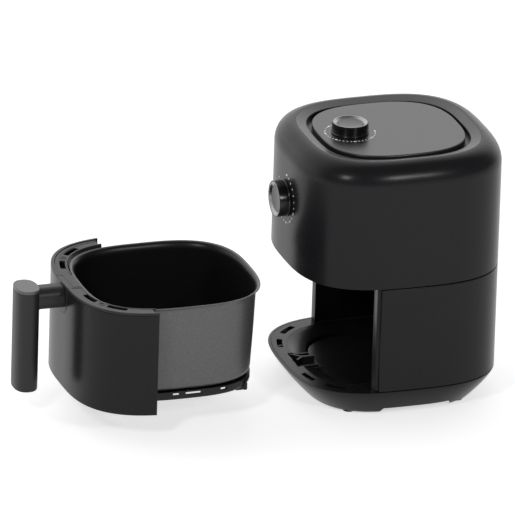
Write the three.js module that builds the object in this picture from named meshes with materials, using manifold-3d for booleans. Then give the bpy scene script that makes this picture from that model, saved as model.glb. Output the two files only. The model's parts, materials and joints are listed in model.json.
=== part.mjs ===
// Two-dial basket air fryer, shown with its pan drawer at the open end of the drawer slide.
// Millimetres, +Z up. X is the width, the front faces -Y, and the feet stand on Z = 0.
// The casing, the drawer and their linings share one outline, a rounded square.
import * as THREE from 'three';
import { mergeVertices } from 'three/addons/utils/BufferGeometryUtils.js';
import Module from 'manifold-3d';

const wasm = await Module();
wasm.setup();

// ---- Driving dimensions -------------------------------------------------------------------

const GAP = 0.3; // between pieces that touch
const REVEAL = 0.8; // seam left open round the drawer level
const WALL = 3; // moulded casing wall
const SHEET = 1.4; // pressed steel
const TINY = 1e-6;

// Rounded-square outline: |x / w|^n + |y / (w * ratio)|^n = 1, w being the half-width.
const CASING = { ratio: 1.03, squareness: 3 };
const LID_OUTLINE = { ratio: 1.03, squareness: 2.75 };
const GRIP_OUTLINE = { ratio: 0.68, squareness: 2.4 };
const PAN_OUTLINE = { ratio: 1.04, squareness: 3 };
const ROUND = { ratio: 1, squareness: 2 };

const CASING_W = 116.5;
const CASING_INNER_W = CASING_W - WALL;
const CASING_FRONT = CASING_W * CASING.ratio;

const BASE_BOTTOM = 2;
const BASE_BOTTOM_W = 99; // half-width and half-depth of the base at its lower edge
const BASE_BOTTOM_D = 95;
const LEDGE_Z = 33.2; // top of the base, where the drawer front and the rear housing stand
const LEDGE_THICKNESS = 2.5;
const DISH_FLOOR_Z = 24.5;
const DRAWER_LEVEL_BOTTOM = LEDGE_Z + REVEAL;
const HEAD_BOTTOM = 158;
const DRAWER_LEVEL_TOP = HEAD_BOTTOM - 1;
const RIM_Z = 304.3; // highest line of the head's shoulder
const RIM_W = 95;
const SHOULDER_DROP = 26;
const LID_Z = 303.5;
const LID_W = 79.5;
const LID_LIP_Z = 297.5;

const JAMB_Y = -42; // where the drawer front ends and the housing begins
const JAMB_REVEAL = 0.6;
const TRIM_Y = -45.5; // front of the upright strips that stand inside the bay opening
const TRIM_DEPTH = 7;
const BAY_W = 101.5; // half-width inside the drawer bay
const BAY_SHEET = 2;

const DRAWER_TRAVEL = 260.5;
const PAN_Y = 0.7;
const PAN_RIM_W = 97;
const PAN_RIM_Z = 153.4;
const PAN_BOTTOM = 49;
const PAN_WALL_W = 92.6;
const PAN_CORNER = { w: 81, r: 8 };
const CARRIER_BOTTOM = 39;
const CARRIER_W = 89;
const CARRIER_ARM_X = 52;
const PEG_AT = 67;
const PANEL_TOP = 154.2; // the drawer front's own edge, under the crescent's bead
const CRESCENT_INNER_W = 98.2;
const CRESCENT_TOP = 156.2;
const CRESCENT_BOTTOM = 152.7;
const BEAD_INNER_W = 112.6;
const SLOT_INNER_W = 101.8;
const SLOT_OUTER_W = 107.6;
const SLOT_BEARINGS = [[20.5, 31.5], [40, 51.5]];
const SCREW_BEARING = 36;

const BRACKET_HALF = 19.4;
const BRACKET_SEAT_Z = 154.4;
const TONGUE_BOTTOM = 121;
const ARM_HALF = 14;
const ARM_EDGE_R = 11;
const ARM_BOTTOM = 128.5;
const ARM_TOP = 154.5;
const GRIP_W = 20;
const GRIP_Y = -161.8;
const GRIP_BOTTOM = 35;
const GRIP_TOP = 156.5;
const GRIP_CAP_HEIGHT = 2;
const HANDLE_SCREW_ZS = { lower: 135, upper: 147 };
const SHANK_R = 2;

const KNOB_R = 20.7;
const KNOB_FLANGE_R = 22;
const KNOB_HEIGHT = 13.3;
const SHAFT_R = 3;
const BORE_R = SHAFT_R + GAP;
const TEMPERATURE_Y = -45.7;
const TIMER_Z = 232;

const REFLECTOR_TOP = 208.2;
const REFLECTOR_SHEET = 1.2;
const ELEMENT_Z = 178;
const ELEMENT_R = 3.2;
const ELEMENT_INNER = 57;
const ELEMENT_OUTER = 70;
const ELEMENT_TURNS = 1.75;
const ELEMENT_LEG_TOP = 217;

const MOUNT_PLATE_Z = 218;
const MOUNT_PLATE_THICKNESS = 2;
const STATOR_R = 32;
const ROTOR_R = 14.1;
const STATOR_HEIGHT = 36;

const SWITCH_AT = { x: 64, y: -95 };
const PLUNGER_R = 2.2;
const PLUNGER_TIP_Z = 156.2;

const FOOT_R = 7;
const FOOT_X = 78;
const FOOT_Y = 64;
const FOOT_TOP = 6;
const BASE_PLATE_Z = 4;

const TRAY_W = 84;
const TRAY_Z = 60;
const BUMPER_AT = 55;

const GLAND_Z = 66;
const GLAND_BORE_R = 3.5;
const GLAND_STEM_R = 6;
const GLAND_FLANGE_R = 9;
const GLAND_PROUD = 4;
const GRILLE_Z = 226;
const GRILLE_WIDTH = 72;
const GRILLE_HEIGHT = 52;

// The frame's origin is under the middle of the whole object, handle to gland.
const FRONT_END = GRIP_Y - GRIP_W * GRIP_OUTLINE.ratio - DRAWER_TRAVEL;
const REAR_END = CASING_FRONT + GLAND_PROUD;
const BODY_Y = -(FRONT_END + REAR_END) / 2;

// ---- Finishes -----------------------------------------------------------------------------

const FINISHES = {
  satinBlack: { color: 0x242225, roughness: 0.5, metalness: 0 },
  lidBlack: { color: 0x2c2a2d, roughness: 0.42, metalness: 0 },
  innerBlack: { color: 0x141315, roughness: 0.7, metalness: 0 },
  gripGrey: { color: 0x39373a, roughness: 0.55, metalness: 0 },
  glossBlack: { color: 0x0b0b0c, roughness: 0.15, metalness: 0 },
  chrome: { color: 0xd8d8da, roughness: 0.12, metalness: 1 },
  panCoat: { color: 0x3f3d40, roughness: 0.4, metalness: 0.35 },
  frameSteel: { color: 0x1b1a1c, roughness: 0.5, metalness: 0.4 },
  brightSteel: { color: 0xa9abae, roughness: 0.35, metalness: 1 },
  elementSteel: { color: 0x5d5a57, roughness: 0.5, metalness: 0.9 },
  copper: { color: 0x8a6a4a, roughness: 0.5, metalness: 0.8 },
  rubber: { color: 0x161616, roughness: 0.9, metalness: 0 },
  component: { color: 0xd9d4c4, roughness: 0.6, metalness: 0 },
};

const airFryer = new THREE.Group();
const body = new THREE.Group();
const drawer = new THREE.Group(); // holds its pieces where they are when the drawer is shut
body.position.y = BODY_Y;
drawer.position.y = BODY_Y - DRAWER_TRAVEL;
airFryer.add(body, drawer);

// ---- Solids and shapes --------------------------------------------------------------------

// Joins a geometry's shared vertices, drops its empty triangles and makes it a solid.
function toSolid(geometry) {
  geometry.deleteAttribute('normal');
  geometry.deleteAttribute('uv');
  const merged = mergeVertices(geometry, 1e-4);
  const index = merged.index.array;
  const triangles = [];
  for (let i = 0; i < index.length; i += 3) {
    const [a, b, c] = [index[i], index[i + 1], index[i + 2]];
    if (a !== b && b !== c && c !== a) triangles.push(a, b, c);
  }
  return new wasm.Manifold(new wasm.Mesh({
    numProp: 3,
    vertProperties: new Float32Array(merged.attributes.position.array),
    triVerts: new Uint32Array(triangles),
  }));
}

function addPiece(parent, name, solid, finish) {
  const { vertProperties, triVerts } = solid.getMesh();
  const geometry = new THREE.BufferGeometry();
  geometry.setAttribute('position', new THREE.BufferAttribute(vertProperties, 3));
  geometry.setIndex(new THREE.BufferAttribute(triVerts, 1));
  geometry.computeVertexNormals();
  const mesh = new THREE.Mesh(geometry, new THREE.MeshStandardMaterial(FINISHES[finish]));
  mesh.name = name;
  parent.add(mesh);
  return mesh;
}

// How far a unit rounded square reaches in the direction of (x, y).
function outlineReach(x, y, outline) {
  const length = Math.hypot(x, y);
  const across = Math.abs(x / length) ** outline.squareness;
  const along = Math.abs(y / length / outline.ratio) ** outline.squareness;
  return (across + along) ** (-1 / outline.squareness);
}

// The point of an outline of half-width w at a bearing in degrees from the front, towards +X.
function outlinePoint(w, bearing, outline = CASING) {
  const angle = THREE.MathUtils.degToRad(bearing);
  const x = Math.sin(angle);
  const y = -Math.cos(angle);
  return new THREE.Vector2(x, y).multiplyScalar(w * outlineReach(x, y, outline));
}

// Turns a profile of [half-width, height] about Z and draws each ring out to the outline.
// A third value gives a ring a depth ratio of its own.
function turned(profile, outline = ROUND, segments = 44) {
  const points = profile.map(([w, z]) => new THREE.Vector2(w, z));
  const geometry = new THREE.LatheGeometry(points, segments);
  geometry.rotateX(Math.PI / 2);
  const position = geometry.attributes.position;
  for (let i = 0; i < position.count; i += 1) {
    const x = position.getX(i);
    const y = position.getY(i);
    if (Math.hypot(x, y) < TINY) continue;
    const ratio = profile[i % profile.length][2] ?? outline.ratio;
    const reach = outlineReach(x, y, { ...outline, ratio });
    position.setXY(i, x * reach, y * reach);
  }
  return toSolid(geometry);
}

// Quarter-ellipse profile points about (w, z), from angle `from` to `to` in degrees.
function arcProfile(w, z, radiusW, radiusZ, from, to, steps) {
  const points = [];
  for (let i = 0; i <= steps; i += 1) {
    const angle = THREE.MathUtils.degToRad(from + ((to - from) * i) / steps);
    points.push([w + radiusW * Math.cos(angle), z + radiusZ * Math.sin(angle)]);
  }
  return points;
}

function prism(shape, bottom, top, curveSegments = 4) {
  const geometry = new THREE.ExtrudeGeometry(shape, { depth: top - bottom, bevelEnabled: false, curveSegments });
  geometry.translate(0, 0, bottom);
  return toSolid(geometry);
}

// Shape between two outlines, from one bearing to another.
function bandShape(innerW, outerW, from, to, step = 5) {
  const steps = Math.max(2, Math.ceil((to - from) / step));
  const bearings = Array.from({ length: steps + 1 }, (_, i) => from + ((to - from) * i) / steps);
  const outer = bearings.map((bearing) => outlinePoint(outerW, bearing));
  const inner = bearings.map((bearing) => outlinePoint(innerW, bearing));
  return new THREE.Shape([...outer, ...inner.reverse()]);
}

function band(innerW, outerW, from, to, bottom, top) {
  return prism(bandShape(innerW, outerW, from, to), bottom, top);
}

// The part of a wall between two outlines that lies between two depths.
function wallBetween(innerW, outerW, fromY, toY, bottom, top) {
  const wall = turned([[innerW, bottom], [outerW, bottom], [outerW, top], [innerW, top], [innerW, bottom]],
    CASING, 72);
  return wall.intersect(block([-200, fromY, bottom - 1], [200, toY, top + 1]));
}

// Box from its two opposite corners.
function block(low, high) {
  const size = high.map((value, i) => value - low[i]);
  const geometry = new THREE.BoxGeometry(...size);
  geometry.translate(...low.map((value, i) => value + size[i] / 2));
  return toSolid(geometry);
}

function postAlongZ(radius, bottom, top, x = 0, y = 0, sides = 20) {
  const geometry = new THREE.CylinderGeometry(radius, radius, top - bottom, sides);
  geometry.rotateX(Math.PI / 2);
  geometry.translate(x, y, (bottom + top) / 2);
  return toSolid(geometry);
}

function postAlongY(radius, from, to, x, z, sides = 16) {
  const geometry = new THREE.CylinderGeometry(radius, radius, to - from, sides);
  geometry.translate(x, (from + to) / 2, z);
  return toSolid(geometry);
}

// The ventilation slots that the drawer's top plate and the base's ledge both have.
function ventSlots(bottom, top) {
  const slots = [];
  for (const [from, to] of SLOT_BEARINGS) {
    slots.push(band(SLOT_INNER_W, SLOT_OUTER_W, from, to, bottom, top));
    slots.push(band(SLOT_INNER_W, SLOT_OUTER_W, -to, -from, bottom, top));
  }
  return slots;
}

function cutAll(solid, cutters) {
  return cutters.reduce((rest, cutter) => rest.subtract(cutter), solid);
}

function joinAll(solids) {
  return solids.reduce((whole, solid) => whole.add(solid));
}

// ---- Head: the upper casing ---------------------------------------------------------------

function headShell() {
  const shoulderZ = RIM_Z - SHOULDER_DROP;
  const shoulderW = CASING_W - RIM_W;
  const lipBottom = LID_LIP_Z - 2.5;
  const lipAngle = THREE.MathUtils.radToDeg(Math.asin((lipBottom - shoulderZ) / (SHOULDER_DROP - WALL)));
  const outer = arcProfile(RIM_W, shoulderZ, shoulderW, SHOULDER_DROP, 0, 90, 6);
  const inner = arcProfile(RIM_W, shoulderZ, shoulderW - WALL, SHOULDER_DROP - WALL, lipAngle, 0, 2);
  const start = [CASING_W, HEAD_BOTTOM];
  const shell = turned([
    start,
    ...outer,
    [RIM_W, LID_LIP_Z + 2.5],
    [LID_W + 4, LID_LIP_Z],
    [LID_W - 9, LID_LIP_Z],
    [LID_W - 9, lipBottom],
    ...inner,
    [CASING_INNER_W, HEAD_BOTTOM],
    start,
  ], CASING);
  const window = block(
    [-GRILLE_WIDTH / 2 - GAP, CASING_FRONT - 8, GRILLE_Z - GRILLE_HEIGHT / 2 - GAP],
    [GRILLE_WIDTH / 2 + GAP, CASING_FRONT + 2, GRILLE_Z + GRILLE_HEIGHT / 2 + GAP],
  );
  const dialHole = postAlongY(BORE_R + 1, -CASING_FRONT - 1, -CASING_FRONT + 5, 0, TIMER_Z);
  return cutAll(shell, [window, dialHole]);
}

// Bevelled frame round the lid, sloping in and down from the shoulder.
function topBezel() {
  const outerW = RIM_W - GAP;
  const innerW = LID_W + 4.7;
  const start = [outerW, LID_LIP_Z + 2.9];
  return turned([
    start,
    [outerW, RIM_Z - 0.2],
    [innerW, LID_LIP_Z + 3.6],
    [innerW, LID_LIP_Z + 0.7],
    start,
  ], CASING);
}

function lidPlate() {
  const edge = 1.2;
  const plate = turned([
    [0, LID_LIP_Z + GAP],
    [LID_W, LID_LIP_Z + GAP],
    [LID_W, LID_Z - edge],
    [LID_W - edge, LID_Z],
    [0, LID_Z],
  ], LID_OUTLINE);
  return plate.subtract(postAlongZ(BORE_R + 1, LID_LIP_Z - 1, LID_Z + 1, 0, TEMPERATURE_Y));
}

// Closes the head from below, round the opening of the heating chamber.
function headFloor() {
  const bottom = HEAD_BOTTOM + 0.2;
  const top = bottom + 2.5;
  const plate = turned([[0, bottom], [CASING_INNER_W - GAP, bottom], [CASING_INNER_W - GAP, top], [0, top]],
    CASING);
  const opening = postAlongZ(88, bottom - 1, top + 1, 0, 0, 36);
  const plungerHole = postAlongZ(PLUNGER_R + 0.4, bottom - 1, top + 1, SWITCH_AT.x, SWITCH_AT.y);
  return cutAll(plate, [opening, plungerHole]);
}

function exhaustGrille() {
  const front = CASING_FRONT - 3.5;
  const back = CASING_FRONT - 0.2;
  const bottom = GRILLE_Z - GRILLE_HEIGHT / 2;
  const top = GRILLE_Z + GRILLE_HEIGHT / 2;
  const border = 4;
  const frame = block([-GRILLE_WIDTH / 2, front, bottom], [GRILLE_WIDTH / 2, back, top]);
  const inside = block([-GRILLE_WIDTH / 2 + border, front - 1, bottom + border],
    [GRILLE_WIDTH / 2 - border, back + 1, top - border]);
  const slatCount = 5;
  const pitch = (GRILLE_HEIGHT - 2 * border) / (slatCount + 1);
  const slats = Array.from({ length: slatCount }, (_, i) => {
    const z = bottom + border + pitch * (i + 1);
    return block([-GRILLE_WIDTH / 2 + border / 2, front, z - 1.2], [GRILLE_WIDTH / 2 - border / 2, back, z + 1.2]);
  });
  return joinAll([frame.subtract(inside), ...slats]);
}

function buildHead() {
  addPiece(body, 'head_shell', headShell(), 'satinBlack');
  addPiece(body, 'top_bezel', topBezel(), 'satinBlack');
  addPiece(body, 'lid_plate', lidPlate(), 'lidBlack');
  addPiece(body, 'head_floor', headFloor(), 'innerBlack');
  addPiece(body, 'exhaust_grille', exhaustGrille(), 'innerBlack');
}

// ---- Lower casing: housing round the drawer bay, base and feet ---------------------------

function rearHousing() {
  const housing = wallBetween(CASING_INNER_W, CASING_W, JAMB_Y, CASING_FRONT + 1,
    DRAWER_LEVEL_BOTTOM, DRAWER_LEVEL_TOP);
  return housing.subtract(postAlongY(GLAND_STEM_R + 0.4, CASING_FRONT - 8, CASING_FRONT + 2, 0, GLAND_Z));
}

function bayLiner() {
  return wallBetween(BAY_W, BAY_W + BAY_SHEET, TRIM_Y, CASING_FRONT, LEDGE_Z + GAP, HEAD_BOTTOM - 0.1);
}

// Narrow upright strip that closes the gap between the housing and the bay lining.
function jambTrim(side) {
  const strips = wallBetween(BAY_W + BAY_SHEET + GAP, CASING_INNER_W - GAP, TRIM_Y, TRIM_Y + TRIM_DEPTH,
    LEDGE_Z + GAP, HEAD_BOTTOM - 0.2);
  return strips.intersect(block([Math.min(0, side * 200), -200, 0], [Math.max(0, side * 200), 200, 200]));
}

// Low arch in the skirt, open to the floor, running through both sides of the base.
function skirtArch() {
  const half = 39.5;
  const top = BASE_BOTTOM + 6;
  const slope = 5.5;
  const middleY = 8.5;
  const shape = new THREE.Shape();
  shape.moveTo(-half - slope, -1);
  shape.lineTo(-half, top - 2);
  shape.quadraticCurveTo(-half + 0.5, top, -half + 4, top);
  shape.lineTo(half - 4, top);
  shape.quadraticCurveTo(half - 0.5, top, half, top - 2);
  shape.lineTo(half + slope, -1);
  const geometry = new THREE.ExtrudeGeometry(shape, { depth: 260, bevelEnabled: false, curveSegments: 4 });
  geometry.translate(middleY, 0, -130);
  geometry.rotateX(Math.PI / 2);
  geometry.rotateZ(Math.PI / 2);
  return toSolid(geometry);
}

// The skirt's ring at a height: it draws in towards the floor, more in depth than in width.
function skirtRing(z, inset) {
  const inward = (1 - (z - BASE_BOTTOM) / (LEDGE_Z - BASE_BOTTOM)) ** 1.24;
  const w = CASING_W - (CASING_W - BASE_BOTTOM_W) * inward;
  const d = CASING_FRONT - (CASING_FRONT - BASE_BOTTOM_D) * inward;
  return [w - inset, z, (d - inset) / (w - inset)];
}

function footPlaces() {
  return [['front', -FOOT_Y], ['rear', FOOT_Y]].flatMap(([row, y]) => (
    [['left', -FOOT_X], ['right', FOOT_X]].map(([side, x]) => ({ name: `${row}_${side}_foot`, x, y }))
  ));
}

// Dish with a flat ledge round it, on a skirt that draws in towards the floor.
function baseTray() {
  const ledgeBottom = LEDGE_Z - LEDGE_THICKNESS;
  const skirtHeights = [BASE_BOTTOM + 1.5, 10, 18, 26, LEDGE_Z];
  const outside = turned([
    [0, BASE_BOTTOM],
    [BASE_BOTTOM_W - 1.5, BASE_BOTTOM, BASE_BOTTOM_D / BASE_BOTTOM_W],
    ...skirtHeights.map((z) => skirtRing(z, 0)),
    [96, LEDGE_Z],
    [92, LEDGE_Z - 0.8],
    [79, LEDGE_Z - 5],
    [76.5, LEDGE_Z - 6.4],
    [75.5, DISH_FLOOR_Z],
    [0, DISH_FLOOR_Z],
  ], CASING);
  const under = turned([
    [0, BASE_BOTTOM - 1],
    skirtRing(BASE_BOTTOM, WALL),
    skirtRing(10, WALL),
    skirtRing(18, WALL),
    skirtRing(26, WALL),
    skirtRing(ledgeBottom, WALL),
    [95, ledgeBottom],
    [78, LEDGE_Z - 7.6],
    [73, DISH_FLOOR_Z - 2.5],
    [0, DISH_FLOOR_Z - 2.5],
  ], CASING);
  const bosses = footPlaces().map(({ x, y }) => postAlongZ(FOOT_R + 3, BASE_BOTTOM - 2, LEDGE_Z, x, y));
  const pockets = footPlaces().map(({ x, y }) => postAlongZ(FOOT_R + GAP, -1, FOOT_TOP + GAP, x, y));
  const notch = block([-20, -104.8, DISH_FLOOR_Z + 2], [20, -74, LEDGE_Z + 1]);
  return cutAll(outside, [
    cutAll(under, bosses), notch, skirtArch(), ...pockets, ...ventSlots(ledgeBottom - 1, LEDGE_Z + 1),
  ]);
}

// Catch in the middle of the ledge: a plate with a Y-shaped raised tab.
function latchBracket() {
  const plateTop = LEDGE_Z - 3;
  const tabTop = LEDGE_Z + 3.4;
  const plate = block([-19.6, -104.4, plateTop - 2.5], [19.6, -77, plateTop]);
  const stem = block([-2.5, -94, plateTop - 1], [2.5, -79, tabTop]);
  const arms = [-1, 1].map((side) => {
    const arm = new THREE.BoxGeometry(3, 12, tabTop - plateTop + 1);
    arm.rotateZ(THREE.MathUtils.degToRad(38 * side));
    arm.translate(side * 4, -97.5, (tabTop + plateTop - 1) / 2);
    return toSolid(arm);
  });
  return joinAll([plate, stem, ...arms]);
}

function basePlate() {
  const w = BASE_BOTTOM_W - WALL - 1.5;
  const outline = { ratio: (BASE_BOTTOM_D - WALL - 1.5) / w, squareness: CASING.squareness };
  const sheet = turned([[0, BASE_PLATE_Z], [w, BASE_PLATE_Z], [w, BASE_PLATE_Z + 2], [0, BASE_PLATE_Z + 2]], outline);
  const plate = cutAll(sheet, footPlaces().map(({ x, y }) => (
    postAlongZ(FOOT_R + 3.3, BASE_PLATE_Z - 1, BASE_PLATE_Z + 3, x, y)
  )));
  const slots = [];
  for (let i = -2; i <= 2; i += 1) {
    slots.push(block([-30, i * 14 - 2.5, BASE_PLATE_Z - 1], [30, i * 14 + 2.5, BASE_PLATE_Z + 3]));
  }
  return cutAll(plate, slots);
}

function buildLowerCasing() {
  addPiece(body, 'rear_housing', rearHousing(), 'satinBlack');
  addPiece(body, 'bay_liner', bayLiner(), 'innerBlack');
  addPiece(body, 'left_jamb_trim', jambTrim(-1), 'satinBlack');
  addPiece(body, 'right_jamb_trim', jambTrim(1), 'satinBlack');
  addPiece(body, 'base_tray', baseTray(), 'satinBlack');
  addPiece(body, 'base_plate', basePlate(), 'innerBlack');
  addPiece(body, 'latch_bracket', latchBracket(), 'innerBlack');
  for (const { name, x, y } of footPlaces()) {
    addPiece(body, name, postAlongZ(FOOT_R, 0, FOOT_TOP, x, y), 'rubber');
  }
}

// Grommet where the mains cord enters; its bore is open and empty.
function buildCordGland() {
  const gland = turned([
    [GLAND_BORE_R, -8],
    [GLAND_STEM_R, -8],
    [GLAND_STEM_R, GAP],
    [GLAND_FLANGE_R, GAP],
    [GLAND_FLANGE_R, 2.5],
    [GLAND_STEM_R + 0.5, GLAND_PROUD],
    [GLAND_BORE_R, GLAND_PROUD],
    [GLAND_BORE_R, -8],
  ], ROUND, 20);
  const mesh = addPiece(body, 'cord_gland', gland, 'rubber');
  mesh.rotation.x = -Math.PI / 2;
  mesh.position.set(0, CASING_FRONT, GLAND_Z);
}

// ---- Heating chamber ----------------------------------------------------------------------

// The element's path: a flat spiral whose two ends turn up through the reflector.
function elementPoint(turn) {
  const angle = turn * 2 * Math.PI + Math.PI / 2;
  const radius = ELEMENT_OUTER - (ELEMENT_OUTER - ELEMENT_INNER) * (turn / ELEMENT_TURNS);
  return new THREE.Vector3(radius * Math.cos(angle), radius * Math.sin(angle), ELEMENT_Z);
}

function heatingElement() {
  const steps = 20;
  const spiral = Array.from({ length: steps + 1 }, (_, i) => elementPoint((ELEMENT_TURNS * i) / steps));
  const legs = [spiral[0], spiral[steps]].map((end) => [ELEMENT_LEG_TOP, ELEMENT_Z + 18, ELEMENT_Z + 6]
    .map((z) => new THREE.Vector3(end.x, end.y, z)));
  const inner = spiral.slice(1, -1);
  const path = new THREE.CatmullRomCurve3([...legs[0], ...inner, ...legs[1].reverse()], false, 'centripetal');
  const section = new THREE.Shape();
  section.absarc(0, 0, ELEMENT_R, 0, 2 * Math.PI);
  return toSolid(new THREE.ExtrudeGeometry(section, { steps: 56, extrudePath: path, curveSegments: 3 }));
}

function heatReflector() {
  const flangeZ = 161;
  const start = [88.2, flangeZ];
  const dome = turned([
    start,
    [94, flangeZ],
    [94, flangeZ + REFLECTOR_SHEET],
    [89.4, flangeZ + REFLECTOR_SHEET],
    [86.4, REFLECTOR_TOP - 4],
    [82, REFLECTOR_TOP],
    [5, REFLECTOR_TOP],
    [5, REFLECTOR_TOP - REFLECTOR_SHEET],
    [81.5, REFLECTOR_TOP - REFLECTOR_SHEET],
    [85.2, REFLECTOR_TOP - 4.5],
    start,
  ], ROUND, 36);
  const legHoles = [0, ELEMENT_TURNS].map((turn) => {
    const { x, y } = elementPoint(turn);
    return postAlongZ(ELEMENT_R + 1.5, REFLECTOR_TOP - 5, REFLECTOR_TOP + 1, x, y, 12);
  });
  return cutAll(dome, legHoles);
}

// Strip that hangs from the reflector's roof and steadies both turns of the element.
function elementHanger(bearing) {
  const geometry = new THREE.BoxGeometry(2, 24, REFLECTOR_TOP - 1.5 - ELEMENT_Z - ELEMENT_R - 0.6);
  geometry.translate(0, -65, (REFLECTOR_TOP - 1.5 + ELEMENT_Z + ELEMENT_R + 0.6) / 2);
  geometry.rotateZ(THREE.MathUtils.degToRad(bearing));
  return toSolid(geometry);
}

// Pressed grille under the element, with three rings of slots.
function fanGuard() {
  const bottom = 164.5;
  const slots = [];
  for (const [inner, outer, count] of [[16, 34, 4], [40, 56, 6], [62, 79, 8]]) {
    for (let i = 0; i < count; i += 1) {
      const from = ((i + 0.12) / count) * 2 * Math.PI;
      const to = ((i + 0.88) / count) * 2 * Math.PI;
      const slot = new THREE.Shape();
      slot.absarc(0, 0, outer, from, to, false);
      slot.absarc(0, 0, inner, to, from, true);
      slots.push(prism(slot, bottom - 1, bottom + REFLECTOR_SHEET + 1, 2));
    }
  }
  return cutAll(postAlongZ(86, bottom, bottom + REFLECTOR_SHEET, 0, 0, 36), slots);
}

// Bladed wheel on a hub with a bore for the motor shaft.
function fanWheel({ radius, bladeBottom, bladeTop, backTop, hubBottom, hubRadius, blades }) {
  const hub = postAlongZ(hubRadius, hubBottom, backTop);
  const back = postAlongZ(radius, bladeTop, backTop, 0, 0, 32);
  const blade = (i) => {
    const geometry = new THREE.BoxGeometry(1.4, radius - hubRadius + 2, bladeTop - bladeBottom + 0.4);
    geometry.rotateZ(0.35);
    geometry.translate(0, (radius + hubRadius) / 2 - 2, (bladeTop + bladeBottom) / 2 + 0.2);
    geometry.rotateZ((i / blades) * 2 * Math.PI);
    return toSolid(geometry);
  };
  const wheel = joinAll([hub, back, ...Array.from({ length: blades }, (_, i) => blade(i))]);
  return wheel.subtract(postAlongZ(BORE_R, hubBottom - 1, backTop + 1));
}

function motorMount() {
  const top = MOUNT_PLATE_Z + MOUNT_PLATE_THICKNESS;
  const posts = [0, 1, 2, 3].map((i) => {
    const angle = Math.PI / 4 + (i * Math.PI) / 2;
    return postAlongZ(3.5, REFLECTOR_TOP + GAP, MOUNT_PLATE_Z + 0.5, 37 * Math.cos(angle), 37 * Math.sin(angle), 12);
  });
  const plate = postAlongZ(44, MOUNT_PLATE_Z, top, 0, 0, 32);
  return joinAll([plate, ...posts]).subtract(postAlongZ(6, MOUNT_PLATE_Z - 1, top + 1));
}

function buildHeatingChamber() {
  addPiece(body, 'heat_reflector', heatReflector(), 'brightSteel');
  addPiece(body, 'heating_element', heatingElement(), 'elementSteel');
  for (const [name, bearing] of [['front', 0], ['left', -120], ['right', 120]]) {
    addPiece(body, `element_hanger_${name}`, elementHanger(bearing), 'brightSteel');
  }
  addPiece(body, 'fan_guard', fanGuard(), 'brightSteel');
  addPiece(body, 'motor_mount', motorMount(), 'brightSteel');

  const statorBottom = MOUNT_PLATE_Z + MOUNT_PLATE_THICKNESS + GAP;
  const statorTop = statorBottom + STATOR_HEIGHT;
  const stator = postAlongZ(STATOR_R, statorBottom, statorTop, 0, 0, 32)
    .subtract(postAlongZ(ROTOR_R + 0.4, statorBottom - 1, statorTop + 1, 0, 0, 24));
  addPiece(body, 'motor_stator', stator, 'copper');

  const rotor = postAlongZ(ROTOR_R, statorBottom + 3, statorTop - 3, 0, 0, 24)
    .subtract(postAlongZ(BORE_R, statorBottom, statorTop));
  addPiece(body, 'motor_rotor', rotor, 'brightSteel');
  addPiece(body, 'motor_shaft', postAlongZ(SHAFT_R, 188, 268), 'brightSteel');
  addPiece(body, 'hot_air_fan', fanWheel({
    radius: 50, bladeBottom: 191, bladeTop: 202.5, backTop: 204, hubBottom: 189, hubRadius: 9, blades: 8,
  }), 'brightSteel');
  addPiece(body, 'cooling_fan', fanWheel({
    radius: 36, bladeBottom: 258, bladeTop: 265, backTop: 266.2, hubBottom: 258, hubRadius: 8, blades: 7,
  }), 'innerBlack');
}

// ---- Dials and the parts that they turn --------------------------------------------------

// A dial's pieces stand on a panel whose outer face is local Z = 0.
function dialGroup(position, rotationX) {
  const group = new THREE.Group();
  group.position.set(...position);
  group.rotation.x = rotationX;
  body.add(group);
  return group;
}

function addDial(group, knobName, shaftName, shaftBottom) {
  const recessW = KNOB_R - 3.4;
  const knob = turned([
    [0, 7],
    [BORE_R, 7],
    [BORE_R, GAP],
    [KNOB_FLANGE_R, GAP],
    [KNOB_FLANGE_R, 2.4],
    [KNOB_R, 3.4],
    [KNOB_R, KNOB_HEIGHT - 1.1],
    [KNOB_R - 1.1, KNOB_HEIGHT],
    [recessW + 0.4, KNOB_HEIGHT],
    [recessW, KNOB_HEIGHT - 2],
    [0, KNOB_HEIGHT - 2.4],
  ], ROUND, 24);
  addPiece(group, `${knobName}_knob`, knob, 'glossBlack');

  const ringBottom = KNOB_HEIGHT - 1.6;
  const start = [recessW - 2.6, ringBottom];
  const ring = turned([
    start,
    [recessW - GAP, ringBottom],
    [recessW - GAP, ringBottom + 0.9],
    [recessW - 2.6, ringBottom + 0.6],
    start,
  ], ROUND, 24);
  addPiece(group, `${knobName}_ring`, ring, 'chrome');
  addPiece(group, shaftName, postAlongZ(SHAFT_R, shaftBottom, 7 - GAP), 'brightSteel');
}

function buildTemperatureDial() {
  const group = dialGroup([0, TEMPERATURE_Y, LID_Z], 0);
  const bracketTop = LID_LIP_Z - LID_Z;
  const bodyTop = bracketTop - 2 - GAP;
  const socketBottom = bodyTop - 9.5;
  addDial(group, 'temperature', 'thermostat_shaft', socketBottom + 0.5);

  const bracket = block([-26, -20, bracketTop - 2], [26, 20, bracketTop])
    .subtract(postAlongZ(BORE_R + 1, bracketTop - 3, bracketTop + 1));
  addPiece(group, 'thermostat_bracket', bracket, 'brightSteel');
  const thermostat = postAlongZ(17, bodyTop - 23, bodyTop, 0, 0, 28)
    .subtract(postAlongZ(BORE_R, socketBottom, bodyTop + 1));
  addPiece(group, 'thermostat_body', thermostat, 'component');
}

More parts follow.
